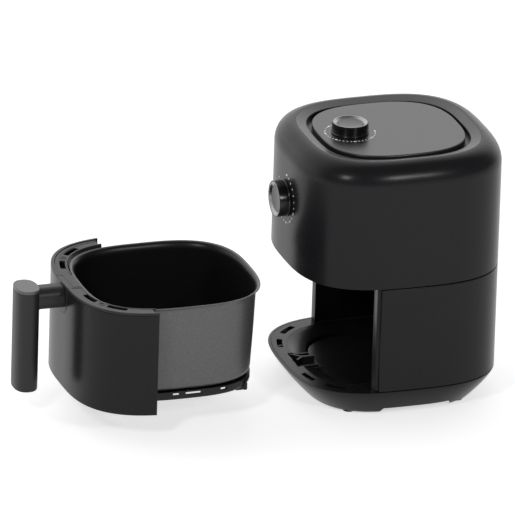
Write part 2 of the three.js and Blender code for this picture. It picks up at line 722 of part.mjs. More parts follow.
function buildTimerDial() {
  const group = dialGroup([0, -CASING_FRONT, TIMER_Z], Math.PI / 2);
  const bodyTop = -WALL - 0.5;
  const bodyBottom = bodyTop - 32;
  const socketBottom = bodyTop - 12;
  addDial(group, 'timer', 'timer_shaft', socketBottom + 0.5);

  const timer = block([-22, -22, bodyBottom], [22, 22, bodyTop])
    .subtract(postAlongZ(BORE_R, socketBottom, bodyTop + 1));
  addPiece(group, 'timer_body', timer, 'component');

  const bell = turned([
    [0, bodyBottom - 2.2],
    [9.5, bodyBottom - 3.2],
    [13.8, bodyBottom - 7.6],
    [13.8, bodyBottom - 12],
    [15, bodyBottom - 12],
    [15, bodyBottom - 7],
    [10, bodyBottom - 2],
    [0, bodyBottom - 1],
  ], ROUND, 24);
  addPiece(group, 'timer_bell', bell, 'brightSteel');
}

// ---- Electrical parts in the head --------------------------------------------------------

function buildElectricalParts() {
  const floorTop = HEAD_BOTTOM + 2.7 + GAP;
  const { x, y } = SWITCH_AT;
  const plungerBore = postAlongZ(PLUNGER_R + GAP, floorTop - 1, floorTop + 9, x, y, 14);
  const switchBody = block([x - 9, y - 4.5, floorTop], [x + 9, y + 4.5, floorTop + 15]);
  addPiece(body, 'safety_switch', switchBody.subtract(plungerBore), 'innerBlack');
  addPiece(body, 'switch_plunger', postAlongZ(PLUNGER_R, PLUNGER_TIP_Z, floorTop + 6, x, y, 14), 'component');

  const terminals = joinAll([
    block([-18, 98, floorTop], [18, 108, floorTop + 8]),
    ...[-12, -4, 4, 12].map((at) => block([at - 3, 100, floorTop + 7], [at + 3, 106, floorTop + 13])),
  ]);
  addPiece(body, 'terminal_block', terminals, 'component');
}

// ---- Drawer: front, top plate and handle -------------------------------------------------

// Upright tongue outline in X and Z, with a round lower end.
function tongueShape(half) {
  const shape = new THREE.Shape();
  const radius = half;
  const bottom = TONGUE_BOTTOM - (half - BRACKET_HALF);
  shape.moveTo(-half, DRAWER_LEVEL_TOP + 2);
  shape.lineTo(-half, bottom + radius);
  shape.absarc(0, bottom + radius, radius, Math.PI, 2 * Math.PI, false);
  shape.lineTo(half, DRAWER_LEVEL_TOP + 2);
  return shape;
}

function tonguePrism(half, frontY, backY) {
  const geometry = new THREE.ExtrudeGeometry(tongueShape(half), {
    depth: backY - frontY, bevelEnabled: false, curveSegments: 5,
  });
  geometry.rotateX(Math.PI / 2);
  geometry.translate(0, backY, 0);
  return toSolid(geometry);
}

function drawerFront() {
  const panel = wallBetween(CASING_INNER_W, CASING_W, -CASING_FRONT - 1, JAMB_Y - JAMB_REVEAL,
    DRAWER_LEVEL_BOTTOM, PANEL_TOP);
  return panel.subtract(tonguePrism(BRACKET_HALF + GAP, -CASING_FRONT - 2, -CASING_FRONT + 10));
}

// Crescent that caps the drawer front, with a raised bead outside and a lip down to the pan.
function drawerTop() {
  const start = [CASING_W, PANEL_TOP + GAP];
  const ring = turned([
    start,
    [CASING_W, DRAWER_LEVEL_TOP],
    [BEAD_INNER_W, DRAWER_LEVEL_TOP],
    [BEAD_INNER_W - 0.6, CRESCENT_TOP],
    [CRESCENT_INNER_W + 1, CRESCENT_TOP],
    [CRESCENT_INNER_W, CRESCENT_TOP - 1],
    [CRESCENT_INNER_W, CRESCENT_BOTTOM - 3.2],
    [CRESCENT_INNER_W + 2, CRESCENT_BOTTOM - 3.2],
    [CRESCENT_INNER_W + 2, CRESCENT_BOTTOM],
    [CASING_INNER_W - GAP, CRESCENT_BOTTOM],
    [CASING_INNER_W - GAP, PANEL_TOP + GAP],
    start,
  ], CASING, 72);
  const [low, high] = [CRESCENT_BOTTOM - 10, CRESCENT_TOP + 10];
  const front = block([-200, -200, low], [200, JAMB_Y - JAMB_REVEAL, high]);
  const trimRoom = wallBetween(BAY_W - JAMB_REVEAL, CASING_INNER_W, TRIM_Y - JAMB_REVEAL, 0, low, high);
  const half = BRACKET_HALF + GAP;
  const seat = block([-half, -130, BRACKET_SEAT_Z], [half, -90, high]);
  const tongueRoom = block([-half, -130, low], [half, -113.6, high]);
  const screwHoles = [-1, 1].map((side) => {
    const { x, y } = outlinePoint((SLOT_INNER_W + SLOT_OUTER_W) / 2, side * SCREW_BEARING);
    return postAlongZ(2.4, low, high, x, y, 12);
  });
  return cutAll(ring.intersect(front), [trimRoom, seat, tongueRoom, ...screwHoles, ...ventSlots(low, high)]);
}

function screwShankHoles() {
  return Object.values(HANDLE_SCREW_ZS).map((z) => postAlongY(SHANK_R + GAP, -140, -110, 0, z));
}

// Inset piece that carries the handle: a plate on the crescent and a tongue down the front.
function handleBracket() {
  const top = DRAWER_LEVEL_TOP - 0.1;
  const plate = block([-BRACKET_HALF, -119.6, BRACKET_SEAT_Z + GAP], [BRACKET_HALF, -101.6, CRESCENT_TOP]);
  const bead = block([-BRACKET_HALF, -119.6, BRACKET_SEAT_Z + GAP], [BRACKET_HALF, -116, top]);
  const tongue = tonguePrism(BRACKET_HALF, -CASING_FRONT - 0.3, -114)
    .subtract(block([-30, -130, top], [30, -100, top + 10]));
  return cutAll(joinAll([plate, bead, tongue]), screwShankHoles());
}

// The grip's solid, grown sideways by `extra` and ending at `top`.
function gripSolid(extra, top) {
  const w = GRIP_W + extra;
  const grip = turned([
    [0, GRIP_BOTTOM],
    [w - 2.5, GRIP_BOTTOM],
    [w - 0.6, GRIP_BOTTOM + 1],
    [w, GRIP_BOTTOM + 3],
    [w, top],
    [0, top],
  ], GRIP_OUTLINE, 32);
  return grip.translate([0, GRIP_Y, 0]);
}

// Bar between the drawer front and the grip, with rounded long edges.
function handleArm() {
  const front = GRIP_Y + 4;
  const back = -CASING_FRONT - 0.7;
  const edge = ARM_EDGE_R;
  const shape = new THREE.Shape();
  shape.moveTo(-ARM_HALF + edge, ARM_BOTTOM);
  shape.lineTo(ARM_HALF - edge, ARM_BOTTOM);
  shape.absarc(ARM_HALF - edge, ARM_BOTTOM + edge, edge, -Math.PI / 2, 0, false);
  shape.absarc(ARM_HALF - edge, ARM_TOP - edge, edge, 0, Math.PI / 2, false);
  shape.absarc(-ARM_HALF + edge, ARM_TOP - edge, edge, Math.PI / 2, Math.PI, false);
  shape.absarc(-ARM_HALF + edge, ARM_BOTTOM + edge, edge, Math.PI, 1.5 * Math.PI, false);
  const geometry = new THREE.ExtrudeGeometry(shape, { depth: back - front, bevelEnabled: false, curveSegments: 4 });
  geometry.rotateX(Math.PI / 2);
  geometry.translate(0, back, 0);
  return cutAll(toSolid(geometry), [gripSolid(GAP, GRIP_TOP + 1), ...screwShankHoles()]);
}

function handleScrew(z) {
  const headBack = -111;
  const headFront = -113.7;
  const shank = postAlongY(SHANK_R, -138, headFront + 0.5, 0, z, 12);
  return shank.add(postAlongY(4, headFront, headBack, 0, z, 16));
}

function gripCap() {
  const w = GRIP_W - 0.2;
  const bottom = GRIP_TOP - GRIP_CAP_HEIGHT;
  const cap = turned([[0, bottom], [w, bottom], [w, GRIP_TOP - 0.8], [w - 1, GRIP_TOP], [0, GRIP_TOP]],
    GRIP_OUTLINE, 32);
  return cap.translate([0, GRIP_Y, 0]);
}

function buildDrawerFront() {
  addPiece(drawer, 'drawer_front', drawerFront(), 'satinBlack');
  addPiece(drawer, 'drawer_top', drawerTop(), 'gripGrey');
  addPiece(drawer, 'handle_bracket', handleBracket(), 'gripGrey');
  addPiece(drawer, 'handle_arm', handleArm(), 'gripGrey');
  addPiece(drawer, 'handle_grip', gripSolid(0, GRIP_TOP - GRIP_CAP_HEIGHT - GAP), 'gripGrey');
  addPiece(drawer, 'grip_cap', gripCap(), 'gripGrey');
  for (const [name, z] of Object.entries(HANDLE_SCREW_ZS)) {
    addPiece(drawer, `handle_screw_${name}`, handleScrew(z), 'brightSteel');
  }
}

// ---- Drawer: pan, carrier and crisper tray -----------------------------------------------

function pan() {
  const { w, r } = PAN_CORNER;
  const floorW = w - 1;
  return turned([
    [0, PAN_BOTTOM],
    [floorW, PAN_BOTTOM],
    ...arcProfile(w, PAN_BOTTOM + r, r, r, -70, 0, 2),
    [PAN_WALL_W, PAN_RIM_Z - 6],
    [PAN_WALL_W + 2, PAN_RIM_Z - 2.4],
    [PAN_RIM_W, PAN_RIM_Z - 1.4],
    [PAN_RIM_W - 0.4, PAN_RIM_Z],
    [PAN_WALL_W + 1, PAN_RIM_Z - 1],
    [PAN_WALL_W - SHEET, PAN_RIM_Z - 5.4],
    ...arcProfile(w, PAN_BOTTOM + r, r - SHEET, r - SHEET, 0, -70, 2),
    [floorW, PAN_BOTTOM + SHEET],
    [0, PAN_BOTTOM + SHEET],
  ], PAN_OUTLINE).translate([0, PAN_Y, 0]);
}

// Slotted ring that the pan stands on, tied to the drawer front by two arms.
function panCarrier() {
  const bottom = CARRIER_BOTTOM;
  const top = PAN_BOTTOM - GAP;
  const start = [CARRIER_W - 14, bottom];
  const ring = turned([
    start, [CARRIER_W - 1, bottom], [CARRIER_W, bottom + 1.5], [CARRIER_W, top], [CARRIER_W - 14, top], start,
  ], PAN_OUTLINE, 40).translate([0, PAN_Y, 0]);
  const arms = [-CARRIER_ARM_X, CARRIER_ARM_X].map((x) => (
    block([x - 6, -110.6, bottom], [x + 6, -78, bottom + 5])
  ));
  const slits = [];
  for (let bearing = 75; bearing <= 285; bearing += 30) {
    const slit = new THREE.BoxGeometry(24, 30, 3.2);
    slit.translate(0, -92, bottom + 5.2);
    slit.rotateZ(THREE.MathUtils.degToRad(bearing));
    slits.push(toSolid(slit));
  }
  return cutAll(joinAll([ring, ...arms]), slits);
}

// Perforated plate with a lifting hole in its middle.
function crisperTray() {
  const outline = Array.from({ length: 48 }, (_, i) => outlinePoint(TRAY_W, (i * 360) / 48, PAN_OUTLINE));
  const shape = new THREE.Shape(outline);
  const lift = new THREE.Path();
  lift.absarc(0, 0, 12, 0, 2 * Math.PI);
  shape.holes.push(lift);
  const pitch = 27;
  for (let column = -2; column <= 2; column += 1) {
    for (let row = -2; row <= 2; row += 1) {
      if (column === 0 && row === 0) continue;
      const hole = new THREE.Path();
      hole.absarc(column * pitch, row * pitch, 4, 0, 2 * Math.PI);
      shape.holes.push(hole);
    }
  }
  const geometry = new THREE.ExtrudeGeometry(shape, { depth: 1.6, bevelEnabled: false, curveSegments: 3 });
  geometry.translate(0, PAN_Y, TRAY_Z);
  return toSolid(geometry);
}

function buildPan() {
  addPiece(drawer, 'pan', pan(), 'panCoat');
  addPiece(drawer, 'pan_carrier', panCarrier(), 'frameSteel');
  for (const [side, sign] of [['left', -1], ['right', 1]]) {
    const peg = postAlongZ(4, DRAWER_LEVEL_BOTTOM + 0.2, CARRIER_BOTTOM - GAP, sign * PEG_AT, PEG_AT + PAN_Y);
    addPiece(drawer, `carrier_foot_${side}`, peg, 'rubber');
  }
  addPiece(drawer, 'crisper_tray', crisperTray(), 'panCoat');
  for (const [row, y] of [['front', -BUMPER_AT], ['rear', BUMPER_AT]]) {
    for (const [side, x] of [['left', -BUMPER_AT], ['right', BUMPER_AT]]) {
      const bumper = postAlongZ(5, PAN_BOTTOM + SHEET + GAP, TRAY_Z - GAP, x, y + PAN_Y, 14);
      addPiece(drawer, `tray_bumper_${row}_${side}`, bumper, 'rubber');
    }
  }
}

// ---- Assembly ----------------------------------------------------------------------------

buildHead();
buildLowerCasing();
buildCordGland();
buildHeatingChamber();
buildTemperatureDial();
buildTimerDial();
buildElectricalParts();
buildDrawerFront();
buildPan();

export default airFryer;
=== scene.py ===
"""Looks of a basket air fryer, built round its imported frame. Profiles are in mm, objects in metres."""
import json
import math

import bmesh
import bpy
from mathutils import Matrix, Vector


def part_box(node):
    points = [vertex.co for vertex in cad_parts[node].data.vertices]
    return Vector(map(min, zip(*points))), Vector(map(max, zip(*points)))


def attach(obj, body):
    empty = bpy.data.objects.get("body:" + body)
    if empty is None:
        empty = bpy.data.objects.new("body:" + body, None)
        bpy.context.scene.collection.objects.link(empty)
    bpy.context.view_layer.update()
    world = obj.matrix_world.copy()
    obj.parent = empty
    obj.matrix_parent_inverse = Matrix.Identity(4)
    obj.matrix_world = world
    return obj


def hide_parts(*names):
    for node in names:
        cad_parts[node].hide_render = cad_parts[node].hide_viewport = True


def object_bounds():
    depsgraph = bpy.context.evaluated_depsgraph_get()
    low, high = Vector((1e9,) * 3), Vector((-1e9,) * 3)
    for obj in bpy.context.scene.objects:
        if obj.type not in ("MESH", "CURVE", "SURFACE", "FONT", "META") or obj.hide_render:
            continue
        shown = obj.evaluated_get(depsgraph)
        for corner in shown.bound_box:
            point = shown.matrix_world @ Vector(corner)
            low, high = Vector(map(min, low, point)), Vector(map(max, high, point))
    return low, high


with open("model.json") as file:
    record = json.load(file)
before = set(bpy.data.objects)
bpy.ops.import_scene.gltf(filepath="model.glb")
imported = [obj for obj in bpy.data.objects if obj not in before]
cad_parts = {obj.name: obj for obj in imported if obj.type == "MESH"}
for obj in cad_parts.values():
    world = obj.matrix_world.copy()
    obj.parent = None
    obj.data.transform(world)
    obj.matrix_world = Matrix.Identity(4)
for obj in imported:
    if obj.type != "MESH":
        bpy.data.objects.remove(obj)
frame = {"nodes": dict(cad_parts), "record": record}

cad_low, cad_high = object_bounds()

# ---- Driving dimensions, read from the frame ------------------------------------------------

MM = 0.001
FRONT = -90.0  # the front's direction, in degrees from +X


def low(node):
    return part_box(node)[0] / MM


def high(node):
    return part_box(node)[1] / MM


def middle_y(node):
    return (low(node).y + high(node).y) / 2


CASING_W = high("head_shell").x
CASING_RATIO = (high("head_shell").y - low("head_shell").y) / 2 / CASING_W
CASING_FRONT = CASING_W * CASING_RATIO
CASING_INNER_W = CASING_W - 3
BODY_Y = middle_y("head_shell")
DRAWER_Y = low("drawer_front").y + CASING_FRONT
PAN_Y = middle_y("pan")

LEDGE_Z = high("base_tray").z
BASE_BOTTOM = low("base_tray").z
HEAD_BOTTOM = low("head_shell").z
RIM_Z = high("head_shell").z
RIM_W = 95
SHOULDER_DROP = 26
LID_Z = high("lid_plate").z
LID_LIP_Z = low("lid_plate").z - 0.3
LID_W = high("lid_plate").x
LID_RATIO = (high("lid_plate").y - low("lid_plate").y) / 2 / LID_W

JAMB_Y = low("rear_housing").y - BODY_Y
PANEL_END_Y = high("drawer_front").y - DRAWER_Y
TRIM_Y = low("left_jamb_trim").y - BODY_Y
TRIM_BACK_Y = high("left_jamb_trim").y - BODY_Y
BAY_W = 101.5
PANEL_TOP = high("drawer_front").z
BEAD_TOP = high("drawer_top").z
CRESCENT_TOP = BEAD_TOP - 0.8
CRESCENT_INNER_W = 98.2
BEAD_INNER_W = 112.8
NOTCH_INNER_W = 100.9
SLOT_INNER_W = 101.8
SLOT_OUTER_W = 107.6
SLOT_BEARINGS = ((20.5, 31.5), (40, 51.5))
SCREW_BEARING = 36
BRACKET_HALF = high("handle_bracket").x
TONGUE_HALF = BRACKET_HALF + 0.3
TONGUE_BEARING = math.degrees(math.asin(TONGUE_HALF / 117.5))
LIP_BEARING = math.degrees(math.asin(TONGUE_HALF / 103.5))
LIP_OUTER_W = CRESCENT_INNER_W + 3
NOTCH_Y = TRIM_Y - 0.6
WELL_BOTTOM = CRESCENT_TOP - 8
PLUNGER_CLEAR_Z = CRESCENT_TOP - 0.05  # leaves room for the tip of the safety switch's plunger

GRIP_W = high("handle_grip").x
GRIP_Y = middle_y("handle_grip")
GRIP_RATIO = (high("handle_grip").y - low("handle_grip").y) / 2 / GRIP_W
GRIP_BOTTOM = low("handle_grip").z
GRIP_TOP = high("grip_cap").z
CARRIER_SLITS = ((79.5, 84), (89, 101), (115, 120), (135, 152), (164, 176))
ARM_HALF = high("handle_arm").x
ARM_BOTTOM = low("handle_arm").z
ARM_TOP = high("handle_arm").z

KNOB_R = 20.7
KNOB_HEIGHT = 13.3
SCALE_R = 28.3
SCALE_DOT_R = 0.95
SCALE_MARK = (1.8, 1.1, 0.6)  # half width, half height, corner radius
PRINT_DEPTH = 0.15
FRONT_MAIN_MARKS = (0, 7, 9, 11, 14, 18)
TEMPERATURE_AT = Vector((0, middle_y("temperature_knob"), LID_Z))
TIMER_AT = Vector((0, BODY_Y - CASING_FRONT, (low("timer_knob").z + high("timer_knob").z) / 2))
UPRIGHT = Matrix.Identity(3)
FACING_FRONT = Matrix.Rotation(math.radians(90), 3, "X")


# ---- Outlines -------------------------------------------------------------------------------

# A rounded square |x / w|^n + |y / (w * ratio)|^n = 1, as (ratio, n).
CASING = (CASING_RATIO, 3)
LID = (LID_RATIO, 2.75)
GRIP = (GRIP_RATIO, 2.4)
PAN = ((high("pan").y - low("pan").y) / 2 / high("pan").x, 3)
ROUND = (1, 2)


def outline_point(w, bearing, outline=CASING):
    """The point of the outline of half-width w at a bearing in degrees from the front, towards +X."""
    ratio, n = outline
    angle = math.radians(FRONT + bearing)
    x, y = math.cos(angle), math.sin(angle)
    reach = w * (abs(x) ** n + abs(y / ratio) ** n) ** (-1 / n)
    return x * reach, y * reach


def rounded(corners, steps=3):
    """A closed or open chain of (w, z, radius) corners, with each corner's radius filled by an arc."""
    points = []
    count = len(corners)
    for i, (w, z, radius) in enumerate(corners):
        here = Vector((w, z))
        before, after = Vector(corners[i - 1][:2]), Vector(corners[(i + 1) % count][:2])
        into, out = (before - here), (after - here)
        if radius == 0 or into.length < 1e-6 or out.length < 1e-6:
            points.append((w, z))
            continue
        half = into.angle(out) / 2
        cut = min(radius / math.tan(half), into.length * 0.49, out.length * 0.49)
        start, end = here + into.normalized() * cut, here + out.normalized() * cut
        for step in range(steps + 1):
            t = step / steps
            points.append(tuple(start.lerp(here, t).lerp(here.lerp(end, t), t)))
    return points


def bearing_at(w, y):
    """The bearing, on the right, at which the casing's outline of half-width w passes a depth."""
    ratio, n = CASING
    return math.degrees(math.atan2(w * (1 - abs(y / w / ratio) ** n) ** (1 / n), -y))


def arc(w, z, radius_w, radius_z, start, end, steps):
    """Points of an elliptic arc about (w, z), from one angle to another in degrees."""
    angles = [math.radians(start + (end - start) * i / steps) for i in range(steps + 1)]
    return [(w + radius_w * math.cos(a), z + radius_z * math.sin(a)) for a in angles]


# ---- Mesh building --------------------------------------------------------------------------

SEGMENTS = 224
SHARP_ANGLE = math.radians(38)


def new_object(name, bm):
    """Makes an object of a bmesh in millimetres, smooth with sharp edges and even normals."""
    bmesh.ops.remove_doubles(bm, verts=bm.verts, dist=1e-4)
    bmesh.ops.recalc_face_normals(bm, faces=bm.faces)
    bmesh.ops.scale(bm, vec=(MM, MM, MM), verts=bm.verts)
    mark_sharp(bm)
    mesh = bpy.data.meshes.new(name)
    bm.to_mesh(mesh)
    bm.free()
    obj = bpy.data.objects.new(name, mesh)
    bpy.context.scene.collection.objects.link(obj)
    return obj


def mark_sharp(bm):
    for face in bm.faces:
        face.smooth = True
    for edge in bm.edges:
        edge.smooth = len(edge.link_faces) == 2 and edge.calc_face_angle() < SHARP_ANGLE


def even_normals(obj):
    modifier = obj.modifiers.new("even normals", "WEIGHTED_NORMAL")
    modifier.keep_sharp = True
    modifier.weight = 100


def place(points, turn, at):
    return [turn @ Vector(p) + Vector(at) for p in points]


def add_turned(bm, profile, outline=ROUND, at=(0, 0, 0), turn=UPRIGHT, segments=SEGMENTS, closed=False):
    """Adds a profile of (w, z) or (w, z, ratio), turned about Z and drawn out to the outline.
    An open profile starts and ends on the axis."""
    rings = []
    for w, z, *own in profile:
        if w < 1e-6:
            rings.append([bm.verts.new(place([(0, 0, z)], turn, at)[0])])
            continue
        shape = (own[0], outline[1]) if own else outline
        ring = [(*outline_point(w, 360 * i / segments, shape), z) for i in range(segments)]
        rings.append([bm.verts.new(p) for p in place(ring, turn, at)])
    pairs = list(zip(rings, rings[1:]))
    if closed:
        pairs.append((rings[-1], rings[0]))
    for one, two in pairs:
        for i in range(segments):
            j = (i + 1) % segments
            corners = [one[i % len(one)], one[j % len(one)], two[j % len(two)], two[i % len(two)]]
            corners = list(dict.fromkeys(corners))
            if len(corners) > 2:
                bm.faces.new(corners)


def add_swept(bm, sections):
    """Adds a tube with flat ends through sections, which are rings of points in the same order."""
    rings = [[bm.verts.new(p) for p in ring] for ring in sections]
    for one, two in zip(rings, rings[1:]):
        for i in range(len(one)):
            j = (i + 1) % len(one)
            bm.faces.new((one[i], one[j], two[j], two[i]))
    bm.faces.new(rings[0])
    bm.faces.new(list(reversed(rings[-1])))


def add_band(bm, profile, start, end, outline=CASING, y=0.0, step=1.5):
    """Adds a closed profile of (w, z) swept along an outline from one bearing to another.
    A bearing is a number, or a function of w where the end is cut flat."""
    def at(bearing, w):
        return bearing(w) if callable(bearing) else bearing

    span = at(end, profile[0][0]) - at(start, profile[0][0])
    count = max(2, math.ceil(span / step))
    sections = []
    for i in range(count + 1):
        ring = []
        for w, z in profile:
            bearing = at(start, w) + (at(end, w) - at(start, w)) * i / count
            px, py = outline_point(w, bearing, outline)
            ring.append((px, py + y, z))
        sections.append(ring)
    add_swept(bm, sections)


def add_wall(bm, profile, end_y, y, rear, edge=0.0, step=1.5):
    """Adds a closed profile swept along the casing's outline, in front of or behind a flat cut at end_y.
    The upright outer edges at the cut are rounded."""
    inward = 1 if rear else -1
    outer_w = max(w for w, z in profile)
    cuts = [(end_y, 0.0)]
    if edge:
        angles = [math.radians(90 * i / 5) for i in range(6)]
        cuts = [(end_y + inward * edge * (1 - math.cos(a)), edge * (1 - math.sin(a))) for a in angles]

    def section(cut_y, inset, place_bearing):
        ring = []
        for w, z in profile:
            w = min(w, outer_w - inset)
            px, py = outline_point(w, place_bearing(bearing_at(w, cut_y)))
            ring.append((px, py + y, z))
        return ring

    last_y = cuts[-1][0]
    reach = bearing_at(outer_w, last_y)
    count = math.ceil((360 - 2 * reach if rear else 2 * reach) / step)

    def across(t):
        if rear:
            return lambda b: b + (360 - 2 * b) * t
        return lambda b: b - 2 * b * t

    sections = [section(cut_y, inset, across(0)) for cut_y, inset in cuts[:-1]]
    sections += [section(last_y, 0, across(i / count)) for i in range(count + 1)]
    sections += [section(cut_y, inset, across(1)) for cut_y, inset in reversed(cuts[:-1])]
    add_swept(bm, sections)


def add_prism(bm, loop, bottom, top, at=(0, 0, 0), turn=UPRIGHT):
    """Adds a flat loop of (x, y) points extruded along its own Z."""
    rings = [[bm.verts.new(p) for p in place([(x, y, z) for x, y in loop], turn, at)] for z in (bottom, top)]
    for i in range(len(loop)):
        j = (i + 1) % len(loop)
        bm.faces.new((rings[0][i], rings[0][j], rings[1][j], rings[1][i]))
    bm.faces.new(list(reversed(rings[0])))
    bm.faces.new(rings[1])


def rounded_rectangle(half_x, half_y, radius, steps=5):
    points = []
    for quarter, (sx, sy) in enumerate(((1, -1), (1, 1), (-1, 1), (-1, -1))):
        centre = Vector((sx * (half_x - radius), sy * (half_y - radius)))
        for i in range(steps + 1):
            angle = math.radians(-90 + 90 * quarter + 90 * i / steps)
            points.append((centre.x + radius * math.cos(angle), centre.y + radius * math.sin(angle)))
    return points


def circle(radius, x=0, y=0, sides=32):
    return [(x + radius * math.cos(2 * math.pi * i / sides), y + radius * math.sin(2 * math.pi * i / sides))
            for i in range(sides)]


def add_rounded_box(bm, low_corner, high_corner, radius, segments=3):
    """Adds a box between two corners, with every edge rounded."""
    size = [h - l for l, h in zip(low_corner, high_corner)]
    centre = Vector([(h + l) / 2 for l, h in zip(low_corner, high_corner)])
    box = bmesh.new()
    bmesh.ops.create_cube(box, size=1)
    bmesh.ops.scale(box, vec=size, verts=box.verts)
    bmesh.ops.bevel(box, geom=box.edges[:], offset=radius, segments=segments, profile=0.5, affect="EDGES")
    bmesh.ops.translate(box, vec=centre, verts=box.verts)
    join_into(bm, box)


def join_into(bm, part):
    mesh = bpy.data.meshes.new("part")
    part.to_mesh(mesh)
    part.free()
    bm.from_mesh(mesh)
    bpy.data.meshes.remove(mesh)


def add_plate(bm, outer, holes, bottom, top, edge=0.35, at=(0, 0, 0), turn=UPRIGHT):
    """Adds a flat plate with holes and softly rounded edges. Its loops are lists of (x, y)."""
    curve = bpy.data.curves.new("plate", "CURVE")
    curve.dimensions = "2D"
    curve.fill_mode = "BOTH"
    curve.extrude = (top - bottom) / 2 - edge
    curve.bevel_depth = edge
    curve.bevel_resolution = 1
    curve.offset = -edge
    for loop in [outer, *holes]:
        spline = curve.splines.new("POLY")
        spline.points.add(len(loop) - 1)
        spline.use_cyclic_u = True
        for point, (x, y) in zip(spline.points, loop):
            point.co = (x, y, 0, 1)
    obj = bpy.data.objects.new("plate", curve)
    part = bmesh.new()
    part.from_mesh(obj.to_mesh())
    bmesh.ops.remove_doubles(part, verts=part.verts, dist=1e-3)
    centre = Vector((0, 0, (bottom + top) / 2))
    for vert in part.verts:
        vert.co = turn @ (vert.co + centre) + Vector(at)
    bpy.data.objects.remove(obj)
    bpy.data.curves.remove(curve)
    join_into(bm, part)


def cut(obj, cutter):
    """Cuts a bmesh of closed solids, in millimetres, out of an object."""
    tool = new_object("cutter", cutter)
    modifier = obj.modifiers.new("cut", "BOOLEAN")
    modifier.operation = "DIFFERENCE"
    modifier.solver = "EXACT"
    modifier.object = tool
    evaluated = obj.evaluated_get(bpy.context.evaluated_depsgraph_get())
    mesh = bpy.data.meshes.new_from_object(evaluated)
    obj.modifiers.clear()
    obj.data = mesh
    bpy.data.objects.remove(tool)
    bm = bmesh.new()
    bm.from_mesh(mesh)
    mark_sharp(bm)
    bm.to_mesh(mesh)
    bm.free()


def piece(name, body, slot, material, bm, *nodes, cutters=None):
    """Makes a piece that stands for CAD nodes. Every piece of the object goes through here."""
    obj = new_object(name, bm)
    if cutters is not None:
        cut(obj, cutters)
    even_normals(obj)
    obj.data.materials.append(material)
    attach(obj, body)
    if nodes:
        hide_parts(*nodes)
    return obj


# ---- Materials ------------------------------------------------------------------------------


def new_material(name, color, roughness, metallic=0.0, specular=0.5):
    """A material with its base colour, roughness and bump inputs ready to be linked."""
    material = bpy.data.materials.new(name)
    material.use_nodes = True
    tree = material.node_tree
    shader = tree.nodes["Principled BSDF"]
    shader.inputs["Base Color"].default_value = (*color, 1)
    shader.inputs["Roughness"].default_value = roughness
    shader.inputs["Metallic"].default_value = metallic
    shader.inputs["Specular IOR Level"].default_value = specular
    return material, tree, shader


def noise(tree, scale, detail=2.0, stretch=(1, 1, 1)):
    """Noise in object space; the scale counts cells to the metre."""
    place_node = tree.nodes.new("ShaderNodeTexCoord")
    mapping = tree.nodes.new("ShaderNodeMapping")
    mapping.inputs["Scale"].default_value = stretch
    texture = tree.nodes.new("ShaderNodeTexNoise")
    texture.inputs["Scale"].default_value = scale
    texture.inputs["Detail"].default_value = detail
    tree.links.new(place_node.outputs["Object"], mapping.inputs["Vector"])
    tree.links.new(mapping.outputs["Vector"], texture.inputs["Vector"])
    return texture.outputs["Fac"]


def spread(tree, value, low_in, high_in, low_out, high_out):
    node = tree.nodes.new("ShaderNodeMapRange")
    limits = {"From Min": low_in, "From Max": high_in, "To Min": low_out, "To Max": high_out}
    for key, number in limits.items():
        node.inputs[key].default_value = number
    tree.links.new(value, node.inputs["Value"])
    return node.outputs["Result"]


def vary_color(tree, shader, value, dark, light):
    mix = tree.nodes.new("ShaderNodeMix")
    mix.data_type = "RGBA"
    mix.inputs["A"].default_value = (*dark, 1)
    mix.inputs["B"].default_value = (*light, 1)
    tree.links.new(value, mix.inputs["Factor"])
    tree.links.new(mix.outputs["Result"], shader.inputs["Base Color"])


def bump(tree, shader, value, strength, distance):
    node = tree.nodes.new("ShaderNodeBump")
    node.inputs["Strength"].default_value = strength
    node.inputs["Distance"].default_value = distance
    tree.links.new(value, node.inputs["Height"])
    tree.links.new(node.outputs["Normal"], shader.inputs["Normal"])


def shade_of(color, factor):
    return tuple(c * factor for c in color)


def moulded_plastic(name, color, roughness, grain=0.12, cells=2600, specular=0.5):
    """Plastic with a fine moulded grain, and a little unevenness in colour and sheen."""
    material, tree, shader = new_material(name, color, roughness, specular=specular)
    broad = noise(tree, 14, detail=3)
    vary_color(tree, shader, broad, shade_of(color, 0.88), shade_of(color, 1.12))
    fine = noise(tree, cells, detail=2)
    sheen = spread(tree, fine, 0.3, 0.7, roughness - 0.05, roughness + 0.05)
    tree.links.new(sheen, shader.inputs["Roughness"])
    bump(tree, shader, fine, grain, 0.00008)
    return material


def metal(name, color, roughness, stretch=(1, 1, 1), cells=900, grain=0.08, metallic=1.0):
    """Bare or plated metal with fine drawn lines along the stretched axis."""
    material, tree, shader = new_material(name, color, roughness, metallic=metallic)
    lines = noise(tree, cells, detail=3, stretch=stretch)
    vary_color(tree, shader, lines, shade_of(color, 0.82), shade_of(color, 1.1))
    sheen = spread(tree, lines, 0.3, 0.7, roughness * 0.8, roughness * 1.25)
    tree.links.new(sheen, shader.inputs["Roughness"])
    bump(tree, shader, lines, grain, 0.00005)
    return material


def coated_metal(name, color, fleck, roughness, metallic, specular=0.5):
    """Non-stick coating: a dark ground with fine brighter metallic flecks and a faint orange peel."""
    material, tree, shader = new_material(name, color, roughness, metallic=metallic, specular=specular)
    flecks = noise(tree, 1900, detail=5)
    vary_color(tree, shader, spread(tree, flecks, 0.36, 0.66, 0, 1), color, fleck)
    sheen = spread(tree, flecks, 0.35, 0.7, roughness + 0.06, roughness - 0.06)
    tree.links.new(sheen, shader.inputs["Roughness"])
    bump(tree, shader, noise(tree, 700, detail=2), 0.10, 0.00012)
    return material


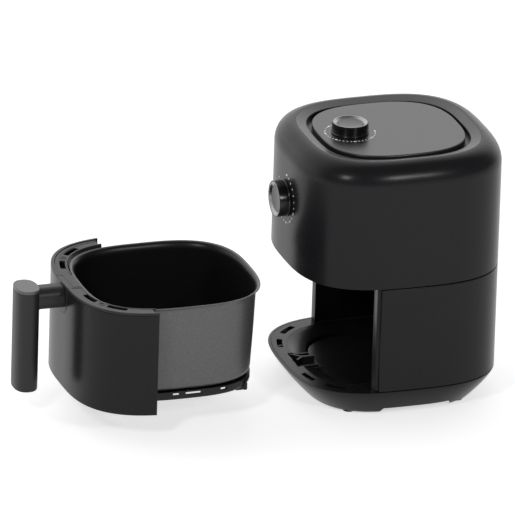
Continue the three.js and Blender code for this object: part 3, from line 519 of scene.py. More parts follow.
SATIN_BLACK = moulded_plastic("satin_black", (0.0085, 0.0080, 0.0093), 0.27, grain=0.14, specular=0.17)
FRAME_BLACK = moulded_plastic("frame_black", (0.012, 0.0115, 0.0128), 0.34, grain=0.14, specular=0.5)
LID_BLACK = moulded_plastic("lid_black", (0.014, 0.0134, 0.0148), 0.34, grain=0.2, specular=0.62)
INNER_BLACK = moulded_plastic("inner_black", (0.004, 0.004, 0.0044), 0.42, grain=0.16, specular=0.25)
HANDLE_GREY = moulded_plastic("handle_grey", (0.015, 0.0143, 0.0161), 0.4, grain=0.2, specular=0.31)
CAP_GREY = moulded_plastic("cap_grey", (0.07, 0.067, 0.071), 0.36, grain=0.12, specular=0.6)
GLOSS_BLACK = moulded_plastic("gloss_black", (0.003, 0.003, 0.0034), 0.24, grain=0.02, specular=0.4)
DIAL_FACE = moulded_plastic("dial_face", (0.03, 0.03, 0.031), 0.34, grain=0.05, specular=0.55)
PRINT_WHITE = moulded_plastic("print_white", (0.85, 0.85, 0.85), 0.5, grain=0.05)
RUBBER = moulded_plastic("rubber", (0.012, 0.012, 0.012), 0.75, grain=0.3, cells=1500, specular=0.3)
CREAM = moulded_plastic("component_cream", (0.55, 0.5, 0.4), 0.5, grain=0.1)
CARRIER_BLACK = moulded_plastic("carrier_black", (0.0025, 0.0025, 0.0028), 0.34, grain=0.1, specular=0.3)
CHROME = metal("smoked_chrome", (0.3, 0.3, 0.31), 0.26, cells=500, grain=0.03)
STEEL = metal("bright_steel", (0.5, 0.5, 0.51), 0.32, stretch=(1, 6, 1))
ELEMENT_STEEL = metal("element_steel", (0.13, 0.12, 0.115), 0.5, cells=1500, grain=0.2, metallic=0.8)
COPPER = metal("winding_copper", (0.3, 0.14, 0.07), 0.42, stretch=(1, 1, 14), cells=250, grain=0.6)
PAN_OUTSIDE = coated_metal("pan_outside", (0.056, 0.055, 0.058), (0.14, 0.138, 0.143), 0.36, 0.45)
# A far darker copy of the pan's coating: painted shade for the hollow of the pan, laid over its black
# non-stick colour. The tray that sits in the pan takes it too.
SHADED_PAN_COATING = coated_metal(
    "pan_coating_painted_shade", (0.003, 0.003, 0.0034), (0.011, 0.011, 0.0118), 0.34, 0.1, specular=0.3)


# ---- Stage: camera, floor and light ---------------------------------------------------------

VIEW_AZIMUTH = 70.8
VIEW_ELEVATION = 22.296
VIEW_ROLL = 1.779
CAMERA_DISTANCE = 13500
CAMERA_OFFSET = (142.7, 9.57)  # left and down across the view
TARGET_DROP = 0.9
LENS = 838.8
FLOOR_GLOW = 0.6
WHITE_SIDE_AZIMUTH = -85
WHITE_SIDE_ELEVATION = 0
WHITE_SIDE_EDGE = (0.05, 0.5)
WHITE_RADIANCE = 1.5
DIM_RADIANCE = 0.2
KEY_POWER = 8.5


def direction(azimuth, elevation):
    """Unit vector towards a point at an azimuth from the front and an elevation, in degrees."""
    a, e = math.radians(azimuth), math.radians(elevation)
    return Vector((math.sin(a) * math.cos(e), -math.cos(a) * math.cos(e), math.sin(e)))


def make_camera():
    back = direction(VIEW_AZIMUTH, VIEW_ELEVATION)
    level = direction(VIEW_AZIMUTH + 90, 0)
    upward = level.cross(-back)
    roll = math.radians(VIEW_ROLL)
    across = level * math.cos(roll) + upward * math.sin(roll)
    upward = upward * math.cos(roll) - level * math.sin(roll)
    target = Vector((0, BODY_Y, (cad_low.z + cad_high.z) / 2 / MM - TARGET_DROP))
    left, down = CAMERA_OFFSET
    offset = back * CAMERA_DISTANCE - across * left - upward * down
    camera = bpy.data.objects.new("camera", bpy.data.cameras.new("camera"))
    turn = Matrix((across, upward, back)).transposed()
    camera.matrix_world = Matrix.Translation((target + offset) * MM) @ turn.to_4x4()
    camera.data.lens = LENS
    camera.data.sensor_width = 36
    camera.data.clip_start = 0.1
    camera.data.clip_end = 100
    bpy.context.scene.collection.objects.link(camera)
    bpy.context.scene.camera = camera


def make_floor():
    """A plain white sweep that glows a little and evenly, as one lit from below does."""
    bm = bmesh.new()
    bmesh.ops.create_grid(bm, x_segments=4, y_segments=4, size=14000)
    floor = new_object("floor", bm)
    material, tree, shader = new_material("floor", (0.7, 0.7, 0.7), 0.8, specular=0.1)
    vary_color(tree, shader, noise(tree, 3), (0.69, 0.69, 0.69), (0.71, 0.71, 0.71))
    shader.inputs["Emission Color"].default_value = (1, 1, 1, 1)
    shader.inputs["Emission Strength"].default_value = FLOOR_GLOW
    floor.data.materials.append(material)


def add_softbox(name, azimuth, elevation, distance, size, power):
    """A rectangular soft light that faces the object."""
    data = bpy.data.lights.new(name, "AREA")
    data.shape = "RECTANGLE"
    data.size, data.size_y = size
    data.energy = power
    light = bpy.data.objects.new(name, data)
    target = Vector((0, BODY_Y * 0.5, 150)) * MM
    light.location = target + direction(azimuth, elevation) * distance
    light.rotation_mode = "QUATERNION"
    light.rotation_quaternion = (target - light.location).to_track_quat("-Z", "Y")
    bpy.context.scene.collection.objects.link(light)


def make_surroundings():
    """A studio that is white on one side of the object and dim on the other."""
    world = bpy.data.worlds.new("studio")
    bpy.context.scene.world = world
    world.use_nodes = True
    tree = world.node_tree
    place_node = tree.nodes.new("ShaderNodeTexCoord")
    towards = tree.nodes.new("ShaderNodeVectorMath")
    towards.operation = "DOT_PRODUCT"
    towards.inputs[1].default_value = direction(WHITE_SIDE_AZIMUTH, WHITE_SIDE_ELEVATION)
    tree.links.new(place_node.outputs["Generated"], towards.inputs[0])
    strength = spread(tree, towards.outputs["Value"], *WHITE_SIDE_EDGE, DIM_RADIANCE, WHITE_RADIANCE)
    tree.links.new(strength, tree.nodes["Background"].inputs["Strength"])
    tree.nodes["Background"].inputs["Color"].default_value = (1, 1, 1, 1)


make_camera()
make_floor()
make_surroundings()
add_softbox("key_left", 43.5, 32.5, 2.0, (0.22, 0.3), KEY_POWER)
add_softbox("key_right", 105.6, 26.9, 2.0, (0.32, 0.26), KEY_POWER)
view = bpy.context.scene.view_settings
view.view_transform = "Standard"


# ---- Head -----------------------------------------------------------------------------------


def head_shell():
    shoulder_z = RIM_Z - SHOULDER_DROP
    shoulder_w = CASING_W - RIM_W
    wall = CASING_W - CASING_INNER_W
    outer = arc(RIM_W + 0.6, shoulder_z, shoulder_w - 0.6, SHOULDER_DROP, 0, 88, 26)
    inner = arc(RIM_W, shoulder_z, shoulder_w - wall, SHOULDER_DROP - wall, 55, 0, 6)
    lower_edge = rounded([
        (CASING_W - 1, HEAD_BOTTOM, 0), (CASING_W, HEAD_BOTTOM, 0.8), (CASING_W, HEAD_BOTTOM + 2, 0)])[:-1]
    profile = [
        *lower_edge,
        (CASING_W, HEAD_BOTTOM + 8),
        *outer,
        (RIM_W, RIM_Z - 0.02),
        (RIM_W, LID_LIP_Z + 2.5),
        (LID_W + 4.6, LID_LIP_Z + 0.3),
        (LID_W + 4.4, LID_LIP_Z - 2.4),
        (LID_W - 1, LID_LIP_Z - 2.4),
        (LID_W - 1, LID_LIP_Z),
        (LID_W - 9, LID_LIP_Z),
        (LID_W - 9, LID_LIP_Z - 2.5),
        *inner,
        (CASING_INNER_W, HEAD_BOTTOM),
    ]
    bm = bmesh.new()
    add_turned(bm, profile, CASING, at=(0, BODY_Y, 0), closed=True)
    grille_low, grille_high = low("exhaust_grille"), high("exhaust_grille")
    middle = (grille_low + grille_high) / 2
    half_x = (grille_high.x - grille_low.x) / 2 + 0.3
    half_z = (grille_high.z - grille_low.z) / 2 + 0.3
    window = bmesh.new()
    add_prism(window, rounded_rectangle(half_x, half_z, 3), -6, 6,
              at=(0, BODY_Y + CASING_FRONT, middle.z), turn=FACING_FRONT)
    piece("upper_casing", "casing", "satin_black", SATIN_BLACK, bm, "head_shell", cutters=window)


def lid_frame():
    outer_w = RIM_W - 0.03
    inner_w = LID_W + 4.7
    profile = rounded([
        (outer_w, LID_LIP_Z + 2.9, 0),
        (outer_w, RIM_Z - 0.05, 0.25),
        (inner_w, LID_LIP_Z + 3.9, 0.7),
        (inner_w, LID_LIP_Z + 0.7, 0),
    ])
    bm = bmesh.new()
    add_turned(bm, profile, CASING, at=(0, BODY_Y, 0), closed=True)
    piece("lid_frame", "casing", "satin_black", FRAME_BLACK, bm, "top_bezel")


def lid():
    profile = rounded([
        (0, LID_LIP_Z + 0.3, 0),
        (LID_W - 0.6, LID_LIP_Z + 0.3, 0),
        (LID_W, LID_LIP_Z + 1.2, 0),
        (LID_W, LID_Z, 1.8),
        (0, LID_Z, 0),
    ], steps=6)
    profile.insert(-1, (LID_W - 12, LID_Z))
    bm = bmesh.new()
    add_turned(bm, profile, LID, at=(0, BODY_Y, 0))
    piece("lid", "casing", "lid_black", LID_BLACK, bm, "lid_plate")


def exhaust_grille():
    low_corner, high_corner = low("exhaust_grille"), high("exhaust_grille")
    half_x = high_corner.x
    half_z = (high_corner.z - low_corner.z) / 2
    front, middle = low_corner.y, (high_corner.z + low_corner.z) / 2
    depth = high_corner.y - front
    border, slats = 4, 5
    bm = bmesh.new()
    hole = rounded_rectangle(half_x - border, half_z - border, 2)
    frame_loop = rounded_rectangle(half_x, half_z, 3)
    add_plate(bm, frame_loop, [hole], -depth, 0, at=(0, front, middle), turn=FACING_FRONT)
    pitch = 2 * (half_z - border) / (slats + 1)
    for i in range(1, slats + 1):
        z = middle - half_z + border + pitch * i
        slat_low = (-half_x + 2, front + 0.3, z - 1.3)
        slat_high = (half_x - 2, front + depth - 0.4, z + 1.3)
        add_rounded_box(bm, slat_low, slat_high, 0.5)
    for x in (-half_x / 3, half_x / 3):
        bar_low = (x - 1, front, middle - half_z + 2)
        bar_high = (x + 1, front + 1.6, middle + half_z - 2)
        add_rounded_box(bm, bar_low, bar_high, 0.4)
    piece("rear_grille", "casing", "inner_black", INNER_BLACK, bm, "exhaust_grille")


# ---- Lower casing ---------------------------------------------------------------------------


def rear_housing():
    bottom, top = low("rear_housing").z, high("rear_housing").z
    profile = rounded([(CASING_INNER_W, bottom, 0), (CASING_W, bottom, 0.6), (CASING_W, top, 2.2),
                       (CASING_INNER_W, top, 0)], steps=5)
    bm = bmesh.new()
    add_wall(bm, profile, JAMB_Y, BODY_Y, rear=True, edge=2.4)
    piece("lower_casing", "casing", "satin_black", SATIN_BLACK, bm, "rear_housing")


def drawer_bay():
    bottom, top = low("bay_liner").z, high("bay_liner").z
    outer_w = BAY_W + 2
    bm = bmesh.new()
    wall = [(BAY_W, bottom), (outer_w, bottom), (outer_w, top), (BAY_W, top)]
    add_wall(bm, wall, TRIM_Y, BODY_Y, rear=True)
    rib_foot = arc(BAY_W - 9, bottom + 8, 8, 8, 0, -80, 6)
    rib = [(BAY_W + 0.5, top), (BAY_W - 1, top), *rib_foot, (BAY_W - 7.6, bottom), (BAY_W + 0.5, bottom)]
    for start in (82, 276.4):
        add_band(bm, rib, start, start + 1.6, y=BODY_Y, step=0.8)
    piece("bay_wall", "casing", "inner_black", INNER_BLACK, bm, "bay_liner")
    for side, node in ((-1, "left_jamb_trim"), (1, "right_jamb_trim")):
        bottom, top = low(node).z, high(node).z
        corners = []
        for w, y, radius in ((outer_w + 0.4, TRIM_Y, 0.6), (CASING_INNER_W - 0.6, TRIM_Y, 1.2),
                             (CASING_INNER_W - 0.6, TRIM_BACK_Y, 0), (outer_w + 0.4, TRIM_BACK_Y, 0)):
            px, py = outline_point(w, side * bearing_at(w, y))
            corners.append((px, py, radius))
        trim = bmesh.new()
        add_plate(trim, rounded(corners, steps=5), [], bottom, top, edge=0.3, at=(0, BODY_Y, 0))
        piece(node.replace("_trim", "_strip"), "casing", "satin_black", SATIN_BLACK, trim, node)


def slot_loop(start, end, inner_w=SLOT_INNER_W, outer_w=SLOT_OUTER_W, corner=1.8):
    """A slot along the outline, with rounded corners."""
    count = 10
    bearings = [start + (end - start) * i / count for i in range(count + 1)]
    outer = [outline_point(outer_w, b) for b in bearings]
    inner = [outline_point(inner_w, b) for b in reversed(bearings)]
    corners = [(*p, corner if i in (0, count) else 0) for side in (outer, inner) for i, p in enumerate(side)]
    return rounded(corners, steps=4)


def vent_slots():
    return [slot_loop(*sorted((side * a, side * b))) for a, b in SLOT_BEARINGS for side in (-1, 1)]


def ring_sector(inner_w, outer_w, start, end, step=1.5):
    count = math.ceil((end - start) / step)
    bearings = [start + (end - start) * i / count for i in range(count + 1)]
    outer = [outline_point(outer_w, b) for b in bearings]
    return outer + [outline_point(inner_w, b) for b in reversed(bearings)]


def skirt_ring(z, inset=0.0):
    """The base's skirt at a height: it draws in towards the floor, more in depth than in width."""
    bottom_w, bottom_d = 99, 95
    inward = (1 - (z - BASE_BOTTOM) / (LEDGE_Z - BASE_BOTTOM)) ** 1.24
    w = CASING_W - (CASING_W - bottom_w) * inward
    d = CASING_FRONT - (CASING_FRONT - bottom_d) * inward
    return w - inset, z, (d - inset) / (w - inset)


def base():
    floor_z = LEDGE_Z - 8.7
    wall = 3
    steps = 12
    heights = [BASE_BOTTOM + 1.2 + (LEDGE_Z - 1.6 - BASE_BOTTOM) * i / steps for i in range(steps + 1)]
    bottom_edge = skirt_ring(BASE_BOTTOM, 1.0)
    bead_w = BEAD_INNER_W + 0.4
    profile = [
        (0, floor_z),
        *rounded([(0, floor_z, 0), (75.2, floor_z, 0.8), (75.8, LEDGE_Z - 7, 0.6), (77.2, LEDGE_Z - 5.4, 0.8),
                  (80, LEDGE_Z - 4.6, 2), (92.4, LEDGE_Z - 0.9, 3), (96.2, LEDGE_Z - 0.1, 0)])[1:],
        (96.2, LEDGE_Z - 2.4),
        (bead_w, LEDGE_Z - 2.4),
        (bead_w, LEDGE_Z - 0.35),
        (bead_w + 0.35, LEDGE_Z),
        (CASING_W - 0.9, LEDGE_Z),
        (CASING_W - 0.2, LEDGE_Z - 0.25),
        *[skirt_ring(z) for z in reversed(heights)],
        bottom_edge,
        skirt_ring(BASE_BOTTOM, wall),
        skirt_ring(14, wall),
        skirt_ring(LEDGE_Z - 4, wall),
        (95, LEDGE_Z - 4),
        (78, LEDGE_Z - 8.6),
        (73, floor_z - 2.5),
        (0, floor_z - 2.5),
    ]
    bm = bmesh.new()
    at = (0, BODY_Y, 0)
    add_turned(bm, profile, CASING, at=at)
    cutters = bmesh.new()
    arch_half, arch_slope, arch_top, arch_y = 39.5, 5.5, BASE_BOTTOM + 6, 8.5
    arch = rounded([(-arch_half - arch_slope, -2, 0), (arch_half + arch_slope, -2, 0),
                    (arch_half, arch_top, 2.5), (-arch_half, arch_top, 2.5)], steps=5)
    sideways = Matrix(((0, 0, 1), (1, 0, 0), (0, 1, 0)))
    add_prism(cutters, arch, -130, 130, at=(0, BODY_Y + arch_y, 0), turn=sideways)
    notch_low, notch_high = low("latch_bracket"), high("latch_bracket")
    notch = rounded_rectangle(20, (notch_high.y - notch_low.y) / 2 + 0.8, 1)
    add_prism(cutters, notch, floor_z + 1.5, LEDGE_Z + 2, at=(0, (notch_low.y + notch_high.y) / 2, 0))
    for loop in vent_slots():
        add_prism(cutters, loop, LEDGE_Z - 6, LEDGE_Z + 1, at=at)
    piece("base", "casing", "satin_black", SATIN_BLACK, bm, "base_tray", cutters=cutters)

    ledge = bmesh.new()
    half_notch = 20
    outer_w, inner_w = bead_w - 0.15, 96.3
    front_edge = notch_low.y - BODY_Y - 0.4
    reach = bearing_at(outer_w, JAMB_Y - 0.6)
    outer = [outline_point(outer_w, -reach + 2 * reach * i / 90) for i in range(91)]
    start_bearing = math.degrees(math.asin(half_notch / 103.0))
    right = [outline_point(inner_w, reach - (reach - start_bearing) * i / 36) for i in range(37)]
    right[-1] = (half_notch, right[-1][1])
    left = [(-x, y) for x, y in reversed(right)]
    mouth = [(half_notch, front_edge), (-half_notch, front_edge)]
    add_plate(ledge, outer + right + mouth + left, vent_slots(), LEDGE_Z - 2.3, LEDGE_Z, edge=0.3, at=at)
    rear_ring = ring_sector(inner_w, outer_w, reach + 0.3, 360 - reach - 0.3)
    add_plate(ledge, rear_ring, [], LEDGE_Z - 2.3, LEDGE_Z - 0.1, edge=0.1, at=at)
    for side in (-1, 1):
        bearing = side * 26
        x, y = outline_point(SLOT_INNER_W + 2, bearing)
        rib_low = (x - 1.5, BODY_Y + y - 3, LEDGE_Z - 9)
        rib_high = (x + 1.5, BODY_Y + y + 5, LEDGE_Z - 2.6)
        add_rounded_box(ledge, rib_low, rib_high, 0.5)
    piece("ledge", "casing", "satin_black", SATIN_BLACK, ledge, "base_tray")


def latch():
    low_corner, high_corner = low("latch_bracket"), high("latch_bracket")
    plate_top = LEDGE_Z - 3
    front, back = low_corner.y, high_corner.y
    bm = bmesh.new()
    add_rounded_box(bm, (low_corner.x, front, low_corner.z), (high_corner.x, back, plate_top), 0.8)
    for side in (-1, 1):
        x = side * 17.4
        add_rounded_box(bm, (x - 1.2, front + 2, plate_top - 1), (x + 1.2, back - 3, LEDGE_Z - 0.5), 0.5)
    tab = bmesh.new()
    fork_y = front + 10.5
    stem_length = 14
    for side in (-1, 1):
        tip = Vector((side * 7.6, front + 2.2))
        root = Vector((0, fork_y))
        across = (tip - root).orthogonal().normalized() * 1.5
        loop = [tuple(p) for p in (root - across, tip - across, tip + across, root + across)]
        add_plate(tab, loop if side > 0 else loop[::-1], [], plate_top - 0.5, high_corner.z, edge=0.4)
    stem_end = fork_y + stem_length
    stem = [(-2.4, fork_y - 1), (2.4, fork_y - 1), (1.8, stem_end), (-1.8, stem_end)]
    add_plate(tab, stem, [], plate_top - 0.5, high_corner.z - 0.1, edge=0.4)
    join_into(bm, tab)
    piece("drawer_catch", "casing", "inner_black", INNER_BLACK, bm, "latch_bracket")


def feet():
    for row in ("front", "rear"):
        for side in ("left", "right"):
            node = f"{row}_{side}_foot"
            bottom, top = low(node), high(node)
            centre = (bottom + top) / 2
            radius = top.x - centre.x
            profile = rounded([
                (0, bottom.z + 0.5, 0), (radius - 3, bottom.z + 0.5, 0.3), (radius - 2.6, bottom.z, 0.3),
                (radius, bottom.z, 1), (radius, top.z, 0), (0, top.z, 0)])
            bm = bmesh.new()
            add_turned(bm, profile, at=(centre.x, centre.y, 0), segments=64)
            piece(f"{node}_pad", "casing", "rubber", RUBBER, bm, node)


def bottom_cover():
    bottom, top = low("base_plate"), high("base_plate")
    half_w, half_d = top.x, (top.y - bottom.y) / 2
    outline = (half_d / half_w, CASING[1])
    outer = [outline_point(half_w, 3 * i, outline) for i in range(120)]
    foot = (high("front_right_foot") + low("front_right_foot")) / 2
    foot_x, foot_y = foot.x, abs(foot.y - BODY_Y)
    holes = [circle(10.3, sx * foot_x, sy * foot_y) for sx in (-1, 1) for sy in (-1, 1)]
    for i in range(-2, 3):
        holes.append([(x, y + i * 14) for x, y in rounded_rectangle(30, 2.5, 2.4)])
    bm = bmesh.new()
    add_plate(bm, outer, holes, bottom.z, top.z, edge=0.3, at=(0, BODY_Y, 0))
    for x in (-52, 52):
        for y in (-44, 44):
            screw = rounded([(0, 3.1, 0), (3.2, 3.1, 0.5), (3.6, 4.2, 0), (0, 4.2, 0)])
            add_turned(bm, screw, at=(x, BODY_Y + y, 0), segments=32)
    piece("bottom_cover", "casing", "inner_black", INNER_BLACK, bm, "base_plate")


def cord_gland():
    flange = high("cord_gland").x
    proud = high("cord_gland").y - BODY_Y - CASING_FRONT
    profile = rounded([
        (3.5, -8, 0), (6, -8, 0), (6, 0.3, 0), (flange, 0.3, 0.3), (flange, 2.5, 0.8),
        (6.5, proud, 0.8), (3.5, proud, 0.5)])
    bm = bmesh.new()
    z = (low("cord_gland").z + high("cord_gland").z) / 2
    at = (0, BODY_Y + CASING_FRONT, z)
    add_turned(bm, profile, at=at, turn=FACING_FRONT.transposed(), segments=64, closed=True)
    piece("cord_inlet", "casing", "rubber", RUBBER, bm, "cord_gland")


# ---- Dials ----------------------------------------------------------------------------------


def dial(prefix, at, turn):
    body = f"{prefix}_dial"
    ring_outer, ring_inner = 19.5, 14.8
    face_z = KNOB_HEIGHT - 2.7
    flange = KNOB_R + 0.5
    side = rounded([
        (3.3, 0.3, 0), (flange, 0.3, 0.3), (flange, 1.6, 0.8), (KNOB_R, 2.4, 0.5),
        (KNOB_R, KNOB_HEIGHT, 1.3), (ring_outer, KNOB_HEIGHT, 0.2),
        (ring_outer, KNOB_HEIGHT - 0.9, 0)], steps=5)
    knob = [*side, (ring_inner, face_z - 0.9), (3.3, face_z - 0.9)]
    bm = bmesh.new()
    add_turned(bm, knob, at=at, turn=turn, segments=128, closed=True)
    piece(f"{prefix}_knob_body", body, "gloss_black", GLOSS_BLACK, bm, f"{prefix}_knob")

    face = bmesh.new()
    dish = [(0, face_z - 0.2), (6, face_z - 0.05), (10, face_z + 0.15), (13, face_z + 0.45),
            (ring_inner - 0.4, face_z + 0.7), (ring_inner - 0.1, face_z + 0.6),
            (ring_inner - 0.1, face_z - 0.8), (0, face_z - 1)]
    add_turned(face, dish, at=at, turn=turn, segments=128)
    piece(f"{prefix}_knob_face", body, "gloss_black", DIAL_FACE, face)

    ring = bmesh.new()
    cone = rounded([
        (ring_outer - 0.1, KNOB_HEIGHT - 0.9, 0), (ring_outer - 0.1, KNOB_HEIGHT - 0.05, 0.4),
        (ring_outer - 1.3, KNOB_HEIGHT - 0.3, 0.8), (ring_inner, face_z + 0.2, 0.5),
        (ring_inner, face_z - 0.8, 0)])
    add_turned(ring, cone, at=at, turn=turn, segments=128, closed=True)
    piece(f"{prefix}_trim_ring", body, "chrome_trim", CHROME, ring, f"{prefix}_ring")


def scale_marks(name, at, turn, bearings, is_main, on_surface):
    """A generic printed scale round a dial: small dots, and wider marks at the main steps."""
    bm = bmesh.new()
    dot = circle(SCALE_DOT_R, 0, -SCALE_R, 16)
    wide_mark = [(x, y - SCALE_R) for x, y in rounded_rectangle(*SCALE_MARK, 3)]
    for i, bearing in enumerate(bearings):
        turned = turn @ Matrix.Rotation(math.radians(bearing), 3, "Z")
        depth = on_surface(turned @ Vector((0, -SCALE_R, 0)))
        loop = wide_mark if is_main(i) else dot
        add_plate(bm, loop, [], 0.0, PRINT_DEPTH, edge=0.04, at=Vector(at) + depth, turn=turned)
    piece(name, "casing", None, PRINT_WHITE, bm)


def lid_scale():
    bearings = [-97 + 9 * i for i in range(31)]
    scale_marks("lid_scale", TEMPERATURE_AT, UPRIGHT, bearings, lambda i: i % 5 == 0, lambda offset: Vector())


def front_scale():
    n = CASING[1]

    def on_surface(offset):
        y = CASING_FRONT * (1 - abs(offset.x / CASING_W) ** n) ** (1 / n)
        return Vector((0, CASING_FRONT - y, 0))

    bearings = [175 - 15 * i for i in range(21)]
    scale_marks("front_scale", TIMER_AT, FACING_FRONT, bearings, lambda i: i in FRONT_MAIN_MARKS, on_surface)


# ---- Drawer ---------------------------------------------------------------------------------


def tongue_loop(half, top):
    radius = half
    bottom = low("handle_bracket").z - (half - BRACKET_HALF)
    arc_points = arc(0, bottom + radius, radius, radius, 180, 360, 24)
    return [*arc_points, (half, top), (-half, top)]


def drawer_front():
    bottom = low("drawer_front").z
    profile = rounded([
        (CASING_INNER_W, bottom, 0), (CASING_W, bottom, 0.8), (CASING_W, PANEL_TOP, 0.5),
        (CASING_INNER_W, PANEL_TOP, 0)])
    bm = bmesh.new()
    add_wall(bm, profile, PANEL_END_Y, DRAWER_Y, rear=False, edge=0.7, step=1.2)
    cutters = bmesh.new()
    loop = tongue_loop(TONGUE_HALF, PANEL_TOP + 5)
    add_prism(cutters, loop, -8, 8, at=(0, DRAWER_Y - CASING_FRONT, 0), turn=FACING_FRONT)
    piece("front_panel", "drawer", "satin_black", SATIN_BLACK, bm, "drawer_front", cutters=cutters)


def sector_points(w, start, end, count=45):
    return [outline_point(w, start + (end - start) * i / count) for i in range(count + 1)]


def mirrored(loop, side):
    return [(side * x, y) for x, y in loop]


def add_top_band(bm, profile, start, end_y, side):
    """Sweeps a profile on one side of the crescent, from a bearing back to a flat cut at a depth."""
    if side > 0:
        add_band(bm, profile, start, lambda w: bearing_at(w, end_y), y=DRAWER_Y, step=1.2)
    else:
        add_band(bm, profile, lambda w: -bearing_at(w, end_y), -start, y=DRAWER_Y, step=1.2)


def top_screw_at(side):
    return outline_point((SLOT_INNER_W + SLOT_OUTER_W) / 2, side * SCREW_BEARING)


def top_plate_loop(step_w):
    """The slotted plate on the right: from the tongue back to the notch, then forward along the lip."""
    outer = sector_points(step_w, TONGUE_BEARING + 0.6, bearing_at(step_w, NOTCH_Y))
    outer[0] = (TONGUE_HALF, outer[0][1])
    notch = [outline_point(NOTCH_INNER_W, bearing_at(NOTCH_INNER_W, y)) for y in (NOTCH_Y, PANEL_END_Y)]
    inner_w = LIP_OUTER_W - 0.6
    inner = [outline_point(inner_w, bearing_at(inner_w, PANEL_END_Y))]
    inner += sector_points(inner_w, bearing_at(inner_w + 0.2, PANEL_END_Y) - 1, LIP_BEARING)
    inner[-1] = (TONGUE_HALF, inner[-1][1])
    return outer + notch + inner


def add_top_plate(bm, side):
    """The slotted plate, the step that runs round it, and the rim of its screw."""
    at = (0, DRAWER_Y, 0)
    outer_w = BEAD_INNER_W - 0.35
    step_w = outer_w - 3.3
    screw = top_screw_at(side)
    holes = [slot_loop(*sorted((side * a, side * b))) for a, b in SLOT_BEARINGS]
    holes.append(circle(2.4, *screw, 24))
    plate = mirrored(top_plate_loop(step_w), side)
    add_plate(bm, plate, holes, CRESCENT_TOP - 2.5, CRESCENT_TOP - 0.35, edge=0.25, at=at)
    step_loop = sector_points(outer_w, TONGUE_BEARING + 0.3, bearing_at(outer_w, NOTCH_Y))
    step_loop += sector_points(step_w - 0.3, bearing_at(step_w - 0.3, NOTCH_Y), TONGUE_BEARING + 0.6)
    add_plate(bm, mirrored(step_loop, side), [], CRESCENT_TOP - 3, PLUNGER_CLEAR_Z, edge=0.25, at=at)
    boss = rounded([
        (2.5, CRESCENT_TOP - 0.8, 0), (2.5, PLUNGER_CLEAR_Z, 0.2), (4.2, PLUNGER_CLEAR_Z, 0.3),
        (4.6, CRESCENT_TOP - 0.8, 0)])
    add_turned(bm, boss, at=(screw[0], DRAWER_Y + screw[1], 0), segments=40, closed=True)


def drawer_top():
    """The slotted crescent: an outer bead, a stepped plate with a notch at each end, and an inner lip."""
    seat_z = CRESCENT_TOP - 1.8
    bead = rounded([
        (BEAD_INNER_W, CRESCENT_TOP - 3, 0), (CASING_W - 0.8, PANEL_TOP + 0.3, 0),
        (CASING_W, PANEL_TOP + 0.3, 0.3), (CASING_W, BEAD_TOP, 1.3), (BEAD_INNER_W, BEAD_TOP, 0.6)], steps=4)
    bead_end = [(max(w, CASING_INNER_W + 0.1), z) for w, z in bead]
    lip = rounded([
        (LIP_OUTER_W, CRESCENT_TOP - 2, 0), (CRESCENT_INNER_W + 1.7, WELL_BOTTOM, 0),
        (CRESCENT_INNER_W + 0.2, WELL_BOTTOM, 0.4), (CRESCENT_INNER_W + 1.4, CRESCENT_TOP - 0.1, 1),
        (LIP_OUTER_W, CRESCENT_TOP - 0.1, 0)])
    bm = bmesh.new()
    for side in (-1, 1):
        add_top_band(bm, bead, TONGUE_BEARING, NOTCH_Y, side)
        add_top_band(bm, bead_end, bearing_at(CASING_W, NOTCH_Y), PANEL_END_Y, side)
        add_top_band(bm, lip, LIP_BEARING, PANEL_END_Y, side)
        add_top_plate(bm, side)
    middle_lip = [(w, min(z, seat_z - 0.1)) for w, z in lip]
    add_band(bm, middle_lip, -LIP_BEARING, LIP_BEARING, y=DRAWER_Y)
    seat = [(-TONGUE_HALF, -116), (TONGUE_HALF, -116), (TONGUE_HALF, -101.4), (-TONGUE_HALF, -101.4)]
    add_plate(bm, seat, [], CRESCENT_TOP - 3.4, seat_z, edge=0.2, at=(0, DRAWER_Y, 0))
    piece("top_plate", "drawer", "handle_grey", HANDLE_GREY, bm, "drawer_top")


def slot_wells():
    """Dark floors a little way below the slots of the top plate."""
    well = rounded([
        (CRESCENT_INNER_W + 2, WELL_BOTTOM, 0), (CASING_INNER_W - 0.4, WELL_BOTTOM, 0),
        (CASING_INNER_W - 0.4, WELL_BOTTOM + 1, 0), (CRESCENT_INNER_W + 2, WELL_BOTTOM + 1, 0)])
    bm = bmesh.new()
    for side in (-1, 1):
        add_band(bm, well, *sorted((side * 14, side * 58)), y=DRAWER_Y)
    piece("slot_wells", "drawer", "carrier_black", INNER_BLACK, bm)


def top_plate_screws():
    head = rounded([
        (0, CRESCENT_TOP - 1.6, 0), (2.1, CRESCENT_TOP - 1.6, 0), (2.1, CRESCENT_TOP - 0.5, 0.5),
        (0, CRESCENT_TOP - 0.1, 0)])
    bm = bmesh.new()
    for side in (-1, 1):
        x, y = top_screw_at(side)
        add_turned(bm, head, at=(x, DRAWER_Y + y, 0), segments=32)
    piece("top_plate_screws", "drawer", "carrier_black", CARRIER_BLACK, bm)


